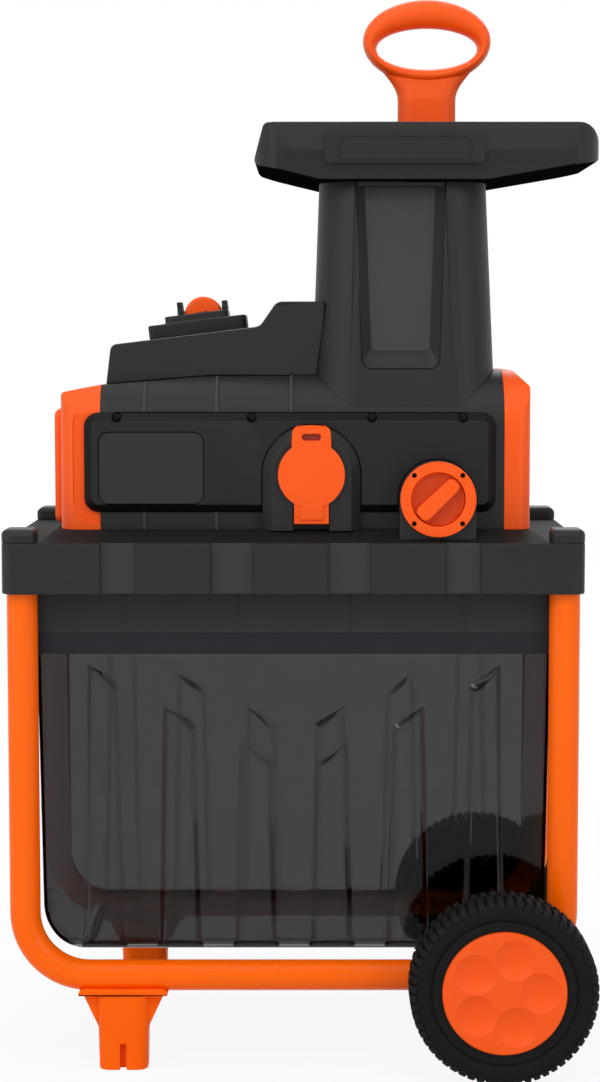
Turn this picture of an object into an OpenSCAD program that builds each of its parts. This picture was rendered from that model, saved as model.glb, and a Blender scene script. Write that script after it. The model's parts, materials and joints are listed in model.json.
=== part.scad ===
// Garden shredder on a wheeled tube frame, with a feed hopper, a cutting drum and a collecting bin.
// Millimetres, +Z up, front at -Y. The origin is under the middle of the whole machine, on the floor.

/* [Frame] */
// Outer diameter of the frame tube
tube_d = 25; // [22:0.5:27]
// Wall of the frame tube
tube_wall = 1.5; // [1:0.1:2.5]
// Distance between the leg centres of one frame
frame_w = 440; // [420:1:460]
// Distance between the front and the rear frame
frame_depth = 246; // [236:1:264]
// Bend radius of the tube, on its centre line
bend_r = 52.5; // [45:0.5:62]

/* [Wheels] */
// Diameter of the wheels
wheel_d = 152; // [142:1:165]
// Width of the wheels
wheel_w = 42; // [38:1:46]
// Gap between the frame tube and a wheel
wheel_gap = 5.5; // [4:0.5:9]
// Place of the axle along the machine
wheel_x = 169; // [158:1:178]
// Diameter of the rim that carries the tyre
rim_d = 116; // [112:1:122]
// Diameter of the hub cap
hub_d = 100; // [90:1:106]
// Diameter of the axle
axle_d = 10; // [8:0.5:12]
// Number of tread grooves round a tyre
tread_count = 54; // [40:1:64]
// Depth of a tread groove
tread_depth = 2.6; // [1.5:0.1:4]
// Number of dimples in a hub cap
dimple_count = 5; // [4:1:6]
// Radius of one dimple at the face of the hub cap
dimple_r = 16.5; // [12:0.5:18]

/* [Feet] */
// Place of the feet along the machine
foot_x = -139.5; // [-150:0.5:-125]
// Width of a foot's leg
foot_w = 42.5; // [36:0.5:50]
// Depth of a foot's leg
foot_depth = 30; // [28:0.5:36]
// Width of the saddle that hugs the tube
saddle_w = 73; // [66:1:80]
// Height of the slot between a foot's two lobes
foot_slot_h = 22; // [15:1:30]

/* [Bin] */
// Length of the bin at its rim
bin_len = 422; // [410:1:428]
// How much shorter each end is at the floor
bin_draft = 4; // [2:0.5:8]
// Wall of the bin
bin_wall = 2.5; // [2:0.1:3.5]
// Radius of the bin's lower corners
bin_corner_r = 40; // [28:1:50]
// Height of the bin from its floor to the runners
bin_h = 251; // [240:1:262]
// Width of a flute in the bin's walls
flute_w = 30; // [22:1:34]
// Distance between the flutes
flute_pitch = 63; // [58:1:66]
// How far a flute stands out
flute_out = 3; // [2:0.1:4]

/* [Runners] */
// Height of the runners that the bin hangs in
runner_h = 17; // [14:0.5:22]
// Height of the skirts between the runners and the tray
skirt_h = 35; // [30:1:42]
// Wall of the skirts and runners
skirt_wall = 2.7; // [2:0.1:3.5]
// Width of the ledge that carries the bin's lip
ledge_w = 6; // [5:0.5:8]

/* [Tray] */
// How far the tray reaches past the legs at its ends
tray_over = 2.5; // [1:0.25:4]
// How far the tray reaches past the legs in front and behind
tray_lap = 6.5; // [5:0.5:9]
// Height of the tray's outer wall
tray_h = 41.5; // [36:0.5:48]
// Wall of the tray
tray_wall = 4; // [3:0.25:5]
// Rise of the deck above the outer wall
deck_rise = 7.5; // [5:0.5:10]
// Width of a raised front pad of the tray
pad_w = 60; // [50:1:66]
// Distance between the raised front pads
pad_pitch = 94.5; // [88:0.5:100]
// Depth of the recesses between the pads
recess = 4; // [2:0.5:5]
// Length of the discharge opening in the deck
discharge_w = 104; // [90:1:112]
// Depth of the discharge opening in the deck
discharge_d = 64; // [50:1:76]
// Width of the caps over the tray's corners
corner_w = 27.5; // [24:0.5:30]
// Depth of the caps over the tray's corners
corner_d = 30; // [26:0.5:34]

/* [Housing] */
// Left end of the housing
housing_x = -158; // [-164:1:-152]
// Length of the housing
housing_w = 330; // [324:1:338]
// Depth of the housing
housing_d = 200; // [192:1:208]
// Height of the housing above the deck
housing_h = 130; // [126:1:138]
// Radius of the housing's curved shoulders
shoulder_r = 46; // [42:1:52]
// Wall of the housing
housing_wall = 3.5; // [2.5:0.1:4]
// Drop of the housing's top from the hopper to the left end
seat_drop = 12; // [8:0.5:15]
// Length of the left end cap
left_cap_w = 33.5; // [29:0.5:36]
// Length of the right end cap
right_cap_w = 22; // [18:0.5:26]

/* [Front panel] */
// Left end of the front panel
panel_x = -171; // [-176:1:-166]
// Length of the front panel
panel_w = 336; // [330:1:338]
// Height of the front panel
panel_h = 81.5; // [78:0.5:84]
// Height of the panel's lower edge above the deck
panel_lift = 14.5; // [12:0.5:17]
// How far the panel stands out of the housing
panel_out = 8; // [6:0.5:9]

/* [Power inlet] */
// Place of the inlet along the machine
inlet_x = 14.6; // [8:0.5:20]
// Width of the arched inlet boss
inlet_w = 80; // [76:1:84]
// Height of the arched inlet boss above the deck
inlet_h = 86; // [84:1:92]
// How far the inlet boss stands out of the panel
inlet_out = 8; // [7:0.5:10]
// Bore of the inlet recess
inlet_bore = 44; // [36:1:48]
// Depth of the inlet recess
inlet_deep = 12; // [8:0.5:12.5]
// Diameter of the inlet flap's disc
flap_d = 54; // [50:0.5:58]
// Thickness of the inlet flap
flap_t = 4; // [3:0.25:5]
// Width of the flap's tab and tongue
flap_tab_w = 32; // [28:0.5:34]

/* [Adjuster] */
// Place of the adjusting knob along the machine
knob_x = 116.7; // [110:0.5:120]
// Height of the knob's axis above the deck
knob_z = 27; // [26:0.5:29]
// Outer diameter of the knob's fixed ring
ring_d = 61; // [57:0.5:62]
// Diameter of the dial inside the ring
dial_d = 43; // [38:0.5:44]
// Diameter of the adjusting screw
screw_d = 8; // [6:0.5:10]

/* [Switch] */
// Slope of the switch cover's top
cover_slope = 7; // [4:0.5:9]
// Height of the switch cover at its left end
cover_h = 33; // [28:0.5:38]
// Height of the switch cover at the hopper
cover_peak = 59.5; // [54:0.5:64]
// Depth of the switch cover
cover_d = 148; // [140:1:150]
// Place of the rocker along the machine
rocker_x = -75.5; // [-78:0.5:-75]
// Radius of the half-round rocker
rocker_r = 16; // [14:0.5:17]
// Width of the rocker across the machine
rocker_w = 22; // [16:0.5:28]

/* [Hopper] */
// Middle of the feed chute along the machine
chute_x = 90.5; // [88:0.5:93]
// Width of the chute at its top
chute_w = 139; // [132:1:142]
// Depth of the chute at its top
chute_d = 140; // [132:1:146]
// Corner radius of the chute
chute_r = 36; // [28:1:42]
// Widening of the chute on each side, towards the housing
chute_flare = 7; // [5:0.5:8]
// Forward lean of the chute's front and back
chute_lean = 28; // [24:0.5:29]
// Wall of the chute and the funnel
chute_wall = 4; // [3:0.25:5]
// Height of the chute above the deck
chute_h = 285; // [270:1:300]
// Middle of the funnel along the machine
funnel_x = 109; // [106:0.5:112]
// Length of the funnel
funnel_w = 286; // [278:1:294]
// Depth of the funnel at its widest
funnel_d = 176; // [166:1:186]
// Height of the funnel
funnel_h = 47; // [44:0.5:54]
// Rise of the funnel's underside at its right end
funnel_rise = 16; // [13:0.5:20]
// Length of the bare name plate
plate_w = 131; // [122:1:135]
// Height of the bare name plate
plate_h = 26; // [23:0.5:27]

/* [Pusher] */
// Width of the pusher's grip loop
loop_w = 108; // [100:1:116]
// Height of the pusher's grip loop
loop_h = 70; // [64:1:76]
// Width of the finger hole
hole_w = 85; // [80:1:90]
// Height of the finger hole
hole_h = 34; // [30:1:38]
// Width of the pusher's neck
neck_w = 49; // [44:1:54]
// Thickness of the pusher's neck
neck_t = 26; // [22:0.5:30]
// Height of the loop's lower edge above the funnel
neck_h = 39; // [34:0.5:44]
// Depth that the pusher's paddle hangs into the chute
paddle_h = 120; // [90:1:140]

/* [Cutter and drive] */
// Height of the drive axis above the deck
axis_h = 49; // [47.5:0.5:52]
// Radius of the cutting drum at its tooth tips
drum_r = 36; // [32:0.5:37]
// Depth of a drum tooth
tooth_h = 6; // [4:0.5:8]
// Number of drum teeth
tooth_count = 9; // [7:1:12]
// Twist of the drum's teeth over its length
drum_twist = 40; // [0:5:60]
// Diameter of the drum shaft
drum_shaft_d = 16; // [12:0.5:18]
// Gap between the drum and the anvil at rest
anvil_gap = 2.5; // [2:0.25:4]
// Thickness of the anvil
anvil_t = 12; // [11:0.5:14]
// Module of the gear teeth
gear_m = 1.25; // [1:0.05:1.3]
// Teeth of a pinion
pinion_teeth = 14; // [14:1:16]
// Teeth of a large gear
wheel_teeth = 56; // [52:1:58]
// Face width of the gears
gear_w = 12; // [8:0.5:13]
// Diameter of the motor can
motor_d = 88; // [80:1:91]
// Length of the motor can
motor_len = 108; // [96:1:112]
// Diameter of the motor shaft
motor_shaft_d = 8; // [6:0.5:10]

/* [Clearances] */
// Radial clearance of turning shafts
run_clear = 0.05; // [0.02:0.01:0.09]
// Gap between parts that slide or sit side by side
gap = 0.3; // [0.2:0.05:0.5]

/* [Hidden] */
$fn = 64;

orange = "#f4621f";
orange_paint = "#fb670f";
black = "#2c2c2c";
dark_grey = "#3c3c3c";
band_blue = "#26282f";
smoke = [0.25, 0.25, 0.26, 0.55];
steel = "#9a9ca0";
copper = "#8a5a33";
rubber = "#1e1e1e";

// Small sizes that follow common practice
eps = 0.01;
through = 1;
arc_step = 7.5;
seat_clear = 0.1;

// Levels above the floor
axle_z = wheel_d / 2;
bin_lift = 0.5;
bin_z = axle_z + tube_d / 2 + bin_lift;
runner_z = bin_z + bin_h;
skirt_z = runner_z + runner_h;
tray_z = skirt_z + skirt_h;
edge_z = tray_z + tray_h;
ceiling_z = edge_z - tray_wall;
deck_z = edge_z + deck_rise;
housing_top = deck_z + housing_h;
funnel_z = deck_z + chute_h;
funnel_top = funnel_z + funnel_h;
axis_z = deck_z + axis_h;

// Tray, deck and corner caps
tray_w = frame_w + tube_d + 2 * tray_over;
tray_d = frame_depth + tube_d + 2 * tray_lap;
tray_r = 10;
spigot_len = 30;
end_recess_w = 28.5;
pad_off = -2;
deck_margin = 2;
deck_slope_x = 8;
deck_slope_y = 20;
deck_lip = 10;
cap_left = housing_x - left_cap_w;
cap_right = housing_x + housing_w + right_cap_w;
deck_half = max(-cap_left, cap_right) + deck_margin;
deck_half_d = tray_d / 2 - deck_lip - deck_slope_y;
corner_gap = 2;
corner_h = 11;
corner_r = 6;
corner_in_r = 4;

// Whole machine: the funnel reaches furthest right and the tray furthest left
mid_x = (funnel_x + funnel_w / 2 - tray_w / 2) / 2;

// Wheels and axle, measured outwards from the middle of a wheel
wheel_y = frame_depth / 2 + tube_d / 2 + wheel_gap + wheel_w / 2;
hub_cap_t = 6;
hub_cap_sink = 0.5;
retainer_t = 3;
retainer_edge = 5;
axle_sink = 2;
retainer_in = 0.5;
sleeve_wall = 8;
axle_out = wheel_w / 2 - hub_cap_t - axle_sink;
retainer_out = axle_out - retainer_in;
sleeve_out = retainer_out - retainer_t - gap;
sleeve_r = axle_d / 2 + sleeve_wall;
rim_wall = 5;
rim_edge = 3;
rim_shelf = 2;
rim_step = 4;
web_in = 3;
web_out = 2;
spoke_count = 6;
spoke_t = 3;
tyre_r = 9;
bead_r = 3;
cap_bevel = 2;
dimple_turn = 2;
dimple_deep = 4;
dimple_margin = 5;
dimple_ring = hub_d / 2 - dimple_r - dimple_margin;
dimple_sphere = (dimple_r * dimple_r + dimple_deep * dimple_deep) / (2 * dimple_deep);
tread_w = 3.2;

// Feet
saddle_floor = 5;
saddle_lap = 4;
saddle_low = axle_z - tube_d / 2 - saddle_floor;
saddle_top = axle_z - tube_d / 2 + saddle_lap;
saddle_r = 5;
foot_r = 9;
gusset_h = 25;
gusset_t = 8;
foot_slot_w = 5;
foot_slot_deep = 8;

// Bin and the runners that carry it
rail_out = frame_depth / 2 - tube_d / 2 - gap;
rail_gap = 2.5;
rail_half = frame_w / 2 - rail_gap;
skirt_rib_x = [-139, -46, 46, 139];
skirt_rib_w = 2;
skirt_rib_out = 1;
ledge_t = 3;
lip_t = 3;
flute_drop = [70, 40, 5];
flute_slant = 8;
lip_out = rail_out - skirt_wall - gap;
bin_side = 1;
tub_half = rail_out - skirt_wall - ledge_w - bin_side;
lip_z = runner_z + ledge_t + gap;
rim_z = lip_z + lip_t;
pull_lip = 10;
bin_edge_r = 12;

// Housing, panel and end caps
seat_x = 25;
seat_end_drop = 3;
seat_knee_x = -72;
seat_knee_drop = 5;
left_cap_fall = 6;
left_cap_top_r = 5;
left_cap_r = 18;
end_plate_d = 140;
end_plate_h = 95;
end_plate_lift = 3;
end_plate_out = 7;
end_plate_r = 8;
end_plate_bevel = 3;
right_cap_bevel = 13;
right_cap_edge_r = 4;
right_cap_r = 12;
rib_w = 2.4;
rib_out = 1.5;
rib_x = [-122, -63, -2];
panel_z = deck_z + panel_lift;
panel_front = housing_d / 2 + panel_out;
panel_r = 12;
panel_chamfer = 6.5;
label_w = 85;
label_h = 58;
label_in = 12.5;
label_lift = 7.5;
label_x = panel_x + label_in;
label_z = panel_z + label_lift;
label_deep = 0.8;
label_r = 8;
screw_x = [-144, -34, 64, 138];
screw_sink = 4;
screw_z = panel_z + panel_h - screw_sink;
screw_head_d = 6.5;
screw_head_h = 3;
screw_shank_d = 3;
screw_reach = 4.5;
screw_pocket_d = 7.6;
screw_pocket = 6.5;

// Power inlet and its flap
boss_front = panel_front + inlet_out;
inlet_bevel = 8;
flap_z = deck_z + inlet_h - inlet_w / 2;
flap_top = deck_z + inlet_h;
flap_tab_r = 5;
flap_tab_h = 11;
flap_tab_in = 2.6;
flap_base_in = 2;
flap_base_half = flap_tab_w / 2 - flap_base_in;
flap_low = 4;
flap_back = boss_front + gap;
flap_front = flap_back + flap_t;
tongue_in = 5;
tongue_out = 1;
tongue_h = 14;
tab_slot_w = 16;
tab_slot_h = 6;
tab_slot_drop = 6.5;
tab_slot_deep = 2.5;
hinge_pin_d = 3;
knuckle_r = 3;
hinge_in = knuckle_r + 2 * gap;
hinge_y = -(boss_front - hinge_in);
hinge_sweep = norm([flap_front + hinge_y, flap_low]) + gap;
hinge_lift = 1;
hinge_z = deck_z + hinge_sweep + hinge_lift;
lug_w = 14;
cheek_w = 5;
pin_d = 5;
pin_pitch = 19;
pin_sink = 3;

// Adjusting knob, screw and anvil
knob_axis = deck_z + knob_z;
knob_margin = 0.5;
knob_half = ring_d / 2 + knob_margin;
knob_out = 20;
knob_front = panel_front + knob_out;
ring_t = 6;
dial_sink = 5;
dial_proud = 3;
grip_w = 11;
grip_h = 6;
grip_in = 1.5;
ring_screw_d = 4;
ring_screw_sink = 1;
ring_screw_in = 3;
ring_screw_pcd = ring_d - 2 * ring_screw_in;
anvil_front = drum_r + anvil_gap + anvil_t;
anvil_bite = 6;
anvil_bore = 8.5;
anvil_low = 15;
anvil_h = 44;
bed_lap = 12;
bed_edge = 2;
bed_inner = discharge_d / 2 + bed_edge;

// Switch on its sloping cover
cover_in = 3;
cover_x = housing_x + cover_in;
cover_front_r = 6;
cover_wall = 3;
cover_z = housing_top - seat_drop;
slope_in = 4;
slope_x = cover_x + slope_in;
slope_z = cover_z + cover_h;
step_x = -28;
step_w = 14;
step_r = 9;
base_off = -5.5;
base_w = 83;
base_d = 60;
base_h = 12;
base_r = 6;
base_step_w = 54;
base_step_d = 46;
base_step_h = 6;
switch_top = base_h + base_step_h;
pivot_drop = 2.5;
trunnion_d = 5;
trunnion_len = 3.5;
rocker_dip = 7;
rocker_hub_r = 4;
guard_space = 0.8;
guard_wall = 4.5;
guard_h = 4;
guard_ear_h = [8, 11];

// Hopper and pusher
throat_gap = 6;
chute_z = axis_z + drum_r + throat_gap;
channel_off = -3;
channel_w = 74;
channel_taper = 5.5;
channel_r = 8;
channel_slope = 8;
channel_deep = 8;
channel_low = 132;
channel_facet = 16;
funnel_lip = 12;
funnel_bend_r = 6;
funnel_left_drop = 2.5;
funnel_left_in = 9.5;
funnel_left_r = 5;
funnel_right_r = 18;
crease_h = 24;
funnel_in = 4;
funnel_r = 36;
funnel_wall = 3;
plate_t = 3;
plate_seat = 1;
plate_r = 5;
line_in_x = 11.5;
line_in_z = 3;
line_w = 1.4;
line_out = 0.7;
plate_lift = 13;
pusher_off = 3;
pusher_x = funnel_x + pusher_off;
loop_z = funnel_top + neck_h + loop_h / 2;
hole_drop = 6;
loop_t = 26;
flare_drop = 14;
flare_z = loop_z - loop_h / 2 - flare_drop;
flare_h = 24;
flare_w = 13;
flare_slim = 4;
flare_steps = 8;
loop_steps = 48;
loop_sides = 16;
stop_t = 6;
stop_lap = 3;
paddle_side = 6;
paddle_d = 60;
paddle_web = 6;
paddle_foot = 8;

// Cutter and drive train along the X axis
plate_w_drum = 6;
chute_low_half = chute_w / 2 + chute_flare;
plate_left = chute_x - chute_low_half;
plate_right = chute_x + chute_low_half;
side_d = 120;
side_r = 8;
shaft_over = 3;
tip_from = 0.1;
tip_to = 0.3;
gullet = 0.65;
drum_slices = 10;
gear_space = 2;
pressure = 20;
addendum = 0.8 * gear_m;
dedendum = 1.05 * gear_m;
backlash = 0.06;
gear_r = gear_m * wheel_teeth / 2;
pinion_r = gear_m * pinion_teeth / 2;
idler_y = gear_r + pinion_r;
stage_two = plate_left - gear_space - gear_w;
stage_one = stage_two - gear_space - gear_w;
gear_plate_t = 5;
gear_plate_x = stage_one - gear_space - gear_plate_t;
motor_x = gear_plate_x - motor_len;
idler_shaft_d = 10;
bearing_wall = 6;
drum_bearing_d = drum_shaft_d + 2 * bearing_wall;
motor_bearing_d = motor_shaft_d + 2 * bearing_wall;
can_wall = 2.5;
core_len = 60;
core_in = 24;
core_bore = 52;
rotor_gap = 0.5;
bell_t = 6;
fan_t = 10;
fan_gap = 2;
fan_plate = 2;
fan_d = 72;
fan_hub_d = 22;
fan_blades = 9;
cradle_w = 12;
cradle_d = 68;
cradle_h = 24;
cradle_in = 18;

// Points of an arc, at most arc_step degrees apart
function arc(c, r, a0, a1) =
    let (n = max(2, ceil(abs(a1 - a0) / arc_step)))
    [for (i = [0 : n]) c + r * [cos(a0 + (a1 - a0) * i / n), sin(a0 + (a1 - a0) * i / n)]];

function unit2(v) = v / norm(v);

// One corner q of an outline between its neighbours p and s, rounded to radius r
function corner(p, q, s, r) =
    let (a = unit2(p - q), b = unit2(s - q), half = acos(a * b) / 2)
    let (c = q + unit2(a + b) * r / sin(half))
    let (from = q + a * r / tan(half) - c, to = q + b * r / tan(half) - c)
    let (a0 = atan2(from[1], from[0]), turn = atan2(to[1], to[0]) - a0)
    arc(c, r, a0, a0 + (turn > 180 ? turn - 360 : turn < -180 ? turn + 360 : turn));

// Outline through corners given as [x, y, radius]
function rounded(pts) =
    let (n = len(pts))
    [for (i = [0 : n - 1])
        let (p = pts[(i + n - 1) % n], q = pts[i], s = pts[(i + 1) % n])
        each (q[2] > 0 ? corner([p[0], p[1]], [q[0], q[1]], [s[0], s[1]], q[2]) : [[q[0], q[1]]])];

// Rounded rectangle between two corners
function rounded_box(x0, y0, x1, y1, r) = rounded([[x0, y0, r], [x1, y0, r], [x1, y1, r], [x0, y1, r]]);

// Shifts the machine so that its middle stands over the origin
module on_floor() {
    translate([-mid_x, 0, 0]) children();
}

// Extrudes an outline drawn in X and Z along Y
module along_y(y0, y1) {
    translate([0, y1, 0]) rotate([90, 0, 0]) linear_extrude(y1 - y0) children();
}

// Extrudes an outline drawn in Y and Z along X
module along_x(x0, x1) {
    translate([x0, 0, 0]) rotate([90, 0, 90]) linear_extrude(x1 - x0) children();
}

// Round bar along Y from y0 to y1
module bar_y(x, z, d, y0, y1) {
    translate([x, y1, z]) rotate([90, 0, 0]) cylinder(d = d, h = y1 - y0);
}

// Round bar along X from x0 to x1
module bar_x(y, z, d, x0, x1) {
    translate([x0, y, z]) rotate([0, 90, 0]) cylinder(d = d, h = x1 - x0);
}

// Ring along X from x0 to x1
module ring_x(y, z, outer, bore, x0, x1) {
    difference() {
        bar_x(y, z, outer, x0, x1);
        bar_x(y, z, bore, x0 - through, x1 + through);
    }
}

// Frame

module tube_ring() {
    difference() {
        circle(d = tube_d);
        circle(d = tube_d - 2 * tube_wall);
    }
}

// One bent tube: two legs, two bends and the bottom run, drilled for the axle
module u_frame(y) {
    span = frame_w - 2 * bend_r;
    color(orange_paint) on_floor() translate([0, y, 0]) difference() {
        union() {
            for (s = [-1, 1]) {
                translate([s * frame_w / 2, 0, axle_z + bend_r])
                    linear_extrude(tray_z - axle_z - bend_r) tube_ring();
                translate([s * span / 2, 0, axle_z + bend_r])
                    rotate([90, 0, 0]) rotate([0, 0, s > 0 ? -90 : 180])
                        rotate_extrude(angle = 90) translate([bend_r, 0]) tube_ring();
            }
            translate([-span / 2, 0, axle_z]) rotate([0, 90, 0]) linear_extrude(span) tube_ring();
        }
        bar_y(wheel_x, axle_z, axle_d + 2 * run_clear, -tube_d, tube_d);
    }
}

module front_frame() {
    u_frame(-frame_depth / 2);
}

module rear_frame() {
    u_frame(frame_depth / 2);
}

// Wheels

// Places a wheel part: +Z of the part points outwards from the machine
module at_wheel(side) {
    on_floor() translate([wheel_x, side * wheel_y, axle_z]) rotate([-90 * side, 0, 0]) children();
}

module axle() {
    color(steel) on_floor() bar_y(wheel_x, axle_z, axle_d, -wheel_y - axle_out, wheel_y + axle_out);
}

// Ring round the axle, from height z0 to z1 in the wheel's own frame
module axle_ring(outer, z0, z1) {
    translate([0, 0, z0]) difference() {
        cylinder(d = outer, h = z1 - z0);
        translate([0, 0, -through]) cylinder(d = axle_d + 2 * run_clear, h = z1 - z0 + 2 * through);
    }
}

module axle_spacers() {
    color(black) for (side = [-1, 1]) at_wheel(side)
        axle_ring(2 * sleeve_r, -wheel_w / 2 - wheel_gap + gap, -wheel_w / 2 - gap);
}

module axle_retainers() {
    color(steel) for (side = [-1, 1]) at_wheel(side)
        axle_ring(axle_d + 2 * retainer_edge, retainer_out - retainer_t, retainer_out);
}

// Wheel body: axle sleeve, web, tyre seat and the ledge that the hub cap sits on
module rim(side) {
    half = wheel_w / 2;
    bore_r = axle_d / 2 + run_clear;
    seat_r = rim_d / 2;
    inner_r = seat_r - rim_wall;
    cap_r = hub_d / 2 + gap;
    shelf_r = hub_d / 2 - rim_step;
    cap_seat = half - hub_cap_t;
    color(black) at_wheel(side) {
        rotate_extrude() polygon([
            [bore_r, -half], [sleeve_r, -half], [sleeve_r, -web_in], [inner_r, -web_in],
            [inner_r, -half + rim_edge], [seat_r, -half + rim_edge], [seat_r, cap_seat + rim_shelf],
            [cap_r, cap_seat + rim_shelf], [cap_r, cap_seat], [shelf_r, cap_seat],
            [shelf_r, web_out], [sleeve_r, web_out], [sleeve_r, sleeve_out], [bore_r, sleeve_out]
        ]);
        for (i = [0 : spoke_count - 1]) rotate([0, 0, 360 * i / spoke_count])
            translate([sleeve_r - through, -spoke_t / 2, -half + 2 * rim_edge])
                cube([inner_r - sleeve_r + 2 * through, spoke_t, half - 2 * rim_edge - web_in + through]);
    }
}

// Tyre with rounded shoulders and grooves across the tread
module tyre(side) {
    inner = rim_d / 2 + seat_clear;
    outer = wheel_d / 2;
    half = wheel_w / 2;
    color(rubber) at_wheel(side) difference() {
        rotate_extrude() polygon(rounded([
            [inner, -half, bead_r], [outer, -half, tyre_r], [outer, half, tyre_r], [inner, half, bead_r]
        ]));
        for (i = [0 : tread_count - 1]) rotate([0, 0, 360 * i / tread_count])
            translate([outer - tread_depth, -tread_w / 2, -half - through])
                cube([2 * tread_depth, tread_w, wheel_w + 2 * through]);
    }
}

// Hub cap with a ring of round dimples
module hub_cap(side) {
    face = wheel_w / 2 - hub_cap_sink;
    color(orange) at_wheel(side) difference() {
        rotate_extrude() polygon([
            [0, wheel_w / 2 - hub_cap_t], [hub_d / 2, wheel_w / 2 - hub_cap_t],
            [hub_d / 2, face - cap_bevel], [hub_d / 2 - cap_bevel, face], [0, face]
        ]);
        for (i = [0 : dimple_count - 1]) rotate([0, 0, dimple_turn + 360 * i / dimple_count])
            translate([dimple_ring, 0, face + dimple_sphere - dimple_deep]) sphere(r = dimple_sphere);
    }
}

module front_rim() {
    rim(-1);
}

module front_tyre() {
    tyre(-1);
}

module front_hub_cap() {
    hub_cap(-1);
}

module rear_rim() {
    rim(1);
}

module rear_tyre() {
    tyre(1);
}

module rear_hub_cap() {
    hub_cap(1);
}

// Feet

// Moulded foot: two-lobed leg, gussets and a saddle that hugs the tube
module foot(y) {
    half = foot_w / 2;
    half_d = foot_depth / 2;
    saddle_half = saddle_w / 2;
    gusset_low = saddle_low - gusset_h;
    color(orange) on_floor() translate([foot_x, y, 0]) difference() {
        union() {
            linear_extrude(saddle_low + eps) polygon(rounded_box(-half, -half_d, half, half_d, foot_r));
            along_y(-half_d, half_d) polygon(rounded([
                [-saddle_half, saddle_low, 0], [saddle_half, saddle_low, 0],
                [saddle_half, saddle_top, saddle_r], [-saddle_half, saddle_top, saddle_r]
            ]));
            along_y(-gusset_t / 2, gusset_t / 2) polygon([
                [-saddle_half + saddle_r, saddle_low + eps], [-half + through, gusset_low],
                [half - through, gusset_low], [saddle_half - saddle_r, saddle_low + eps]
            ]);
        }
        bar_x(0, axle_z, tube_d + 2 * gap, -saddle_w, saddle_w);
        for (s = [-1, 1]) translate([-foot_slot_w / 2, s * half_d - foot_slot_deep, -through])
            cube([foot_slot_w, 2 * foot_slot_deep, foot_slot_h + through]);
    }
}

module front_foot() {
    foot(-frame_depth / 2);
}

module rear_foot() {
    foot(frame_depth / 2);
}

// Tray

// Plan of the tray: rounded rectangle with recesses between the pads of its long sides
module tray_plan() {
    end_pad = pad_pitch + pad_w / 2 + end_recess_w;
    starts = [-end_pad, -pad_pitch + pad_w / 2, pad_w / 2, pad_pitch + pad_w / 2];
    ends = [-pad_pitch - pad_w / 2, -pad_w / 2, pad_pitch - pad_w / 2, end_pad];
    difference() {
        polygon(rounded_box(-tray_w / 2, -tray_d / 2, tray_w / 2, tray_d / 2, tray_r));
        for (i = [0 : 3], s = [-1, 1])
            translate([starts[i] + pad_off, s * tray_d / 2 - recess])
                square([ends[i] - starts[i], 2 * recess]);
    }
}

// Raised deck with sloping sides, from height low up to the deck
module deck_block(low) {
    base_half = deck_half + deck_slope_x;
    base_half_d = deck_half_d + deck_slope_y;
    intersection() {
        along_y(-tray_d, tray_d) polygon([
            [-base_half, low], [base_half, low], [base_half, edge_z],
            [deck_half, deck_z], [-deck_half, deck_z], [-base_half, edge_z]
        ]);
        along_x(-tray_w, tray_w) polygon([
            [-base_half_d, low], [base_half_d, low], [base_half_d, edge_z],
            [deck_half_d, deck_z], [-deck_half_d, deck_z], [-base_half_d, edge_z]
        ]);
    }
}

// Tray with a hollow underside, tube spigots and the discharge opening
module base_tray() {
    in_x = tray_w / 2 - tray_wall;
    in_y = tray_d / 2 - recess - tray_wall;
    hollow_x = deck_half - 2 * tray_wall;
    hollow_y = rail_out - skirt_wall - 2 * tray_wall;
    color(black) on_floor() difference() {
        union() {
            difference() {
                translate([0, 0, tray_z]) linear_extrude(tray_h) tray_plan();
                translate([0, 0, tray_z - through]) linear_extrude(ceiling_z - tray_z + through)
                    polygon(rounded_box(-in_x, -in_y, in_x, in_y, tray_r));
            }
            deck_block(edge_z - through);
            for (sx = [-1, 1], sy = [-1, 1]) translate([sx * frame_w / 2, sy * frame_depth / 2, 0]) {
                translate([0, 0, tray_z]) cylinder(d = tube_d, h = ceiling_z - tray_z + eps);
                translate([0, 0, tray_z - spigot_len])
                    cylinder(d = tube_d - 2 * tube_wall - 2 * seat_clear, h = spigot_len + eps);
            }
        }
        translate([-hollow_x, -hollow_y, ceiling_z - through])
            cube([2 * hollow_x, 2 * hollow_y, deck_z - tray_wall - ceiling_z + through]);
        translate([chute_x - discharge_w / 2, -discharge_d / 2, tray_z])
            cube([discharge_w, discharge_d, deck_z - tray_z + through]);
        corner_room();
    }
}

// Room for the corner caps above the tray's edge
module corner_room() {
    for (sx = [0, 1], sy = [0, 1]) mirror([sx, 0, 0]) mirror([0, sy, 0])
        translate([tray_w / 2 - corner_w - corner_gap, tray_d / 2 - corner_d - corner_gap, edge_z])
            cube([corner_w + 2 * corner_gap, corner_d + 2 * corner_gap, deck_z - edge_z + through]);
}

// Rounded caps over the tray's corner posts
module corner_caps() {
    x0 = tray_w / 2 - corner_w;
    y0 = tray_d / 2 - corner_d;
    color(black) on_floor() for (sx = [0, 1], sy = [0, 1]) mirror([sx, 0, 0]) mirror([0, sy, 0])
        intersection() {
            translate([0, 0, edge_z]) linear_extrude(corner_h) polygon(rounded([
                [x0, y0, corner_in_r], [tray_w / 2, y0, corner_in_r],
                [tray_w / 2, tray_d / 2, tray_r], [x0, tray_d / 2, corner_in_r]
            ]));
            along_y(0, tray_d) polygon(rounded([
                [x0, edge_z, 0], [tray_w / 2, edge_z, 0],
                [tray_w / 2, edge_z + corner_h, corner_r], [x0, edge_z + corner_h, corner_in_r]
            ]));
            along_x(0, tray_w) polygon(rounded([
                [y0, edge_z, 0], [tray_d / 2, edge_z, 0],
                [tray_d / 2, edge_z + corner_h, corner_r], [y0, edge_z + corner_h, corner_in_r]
            ]));
        }
}

// Bin and its runners

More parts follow.
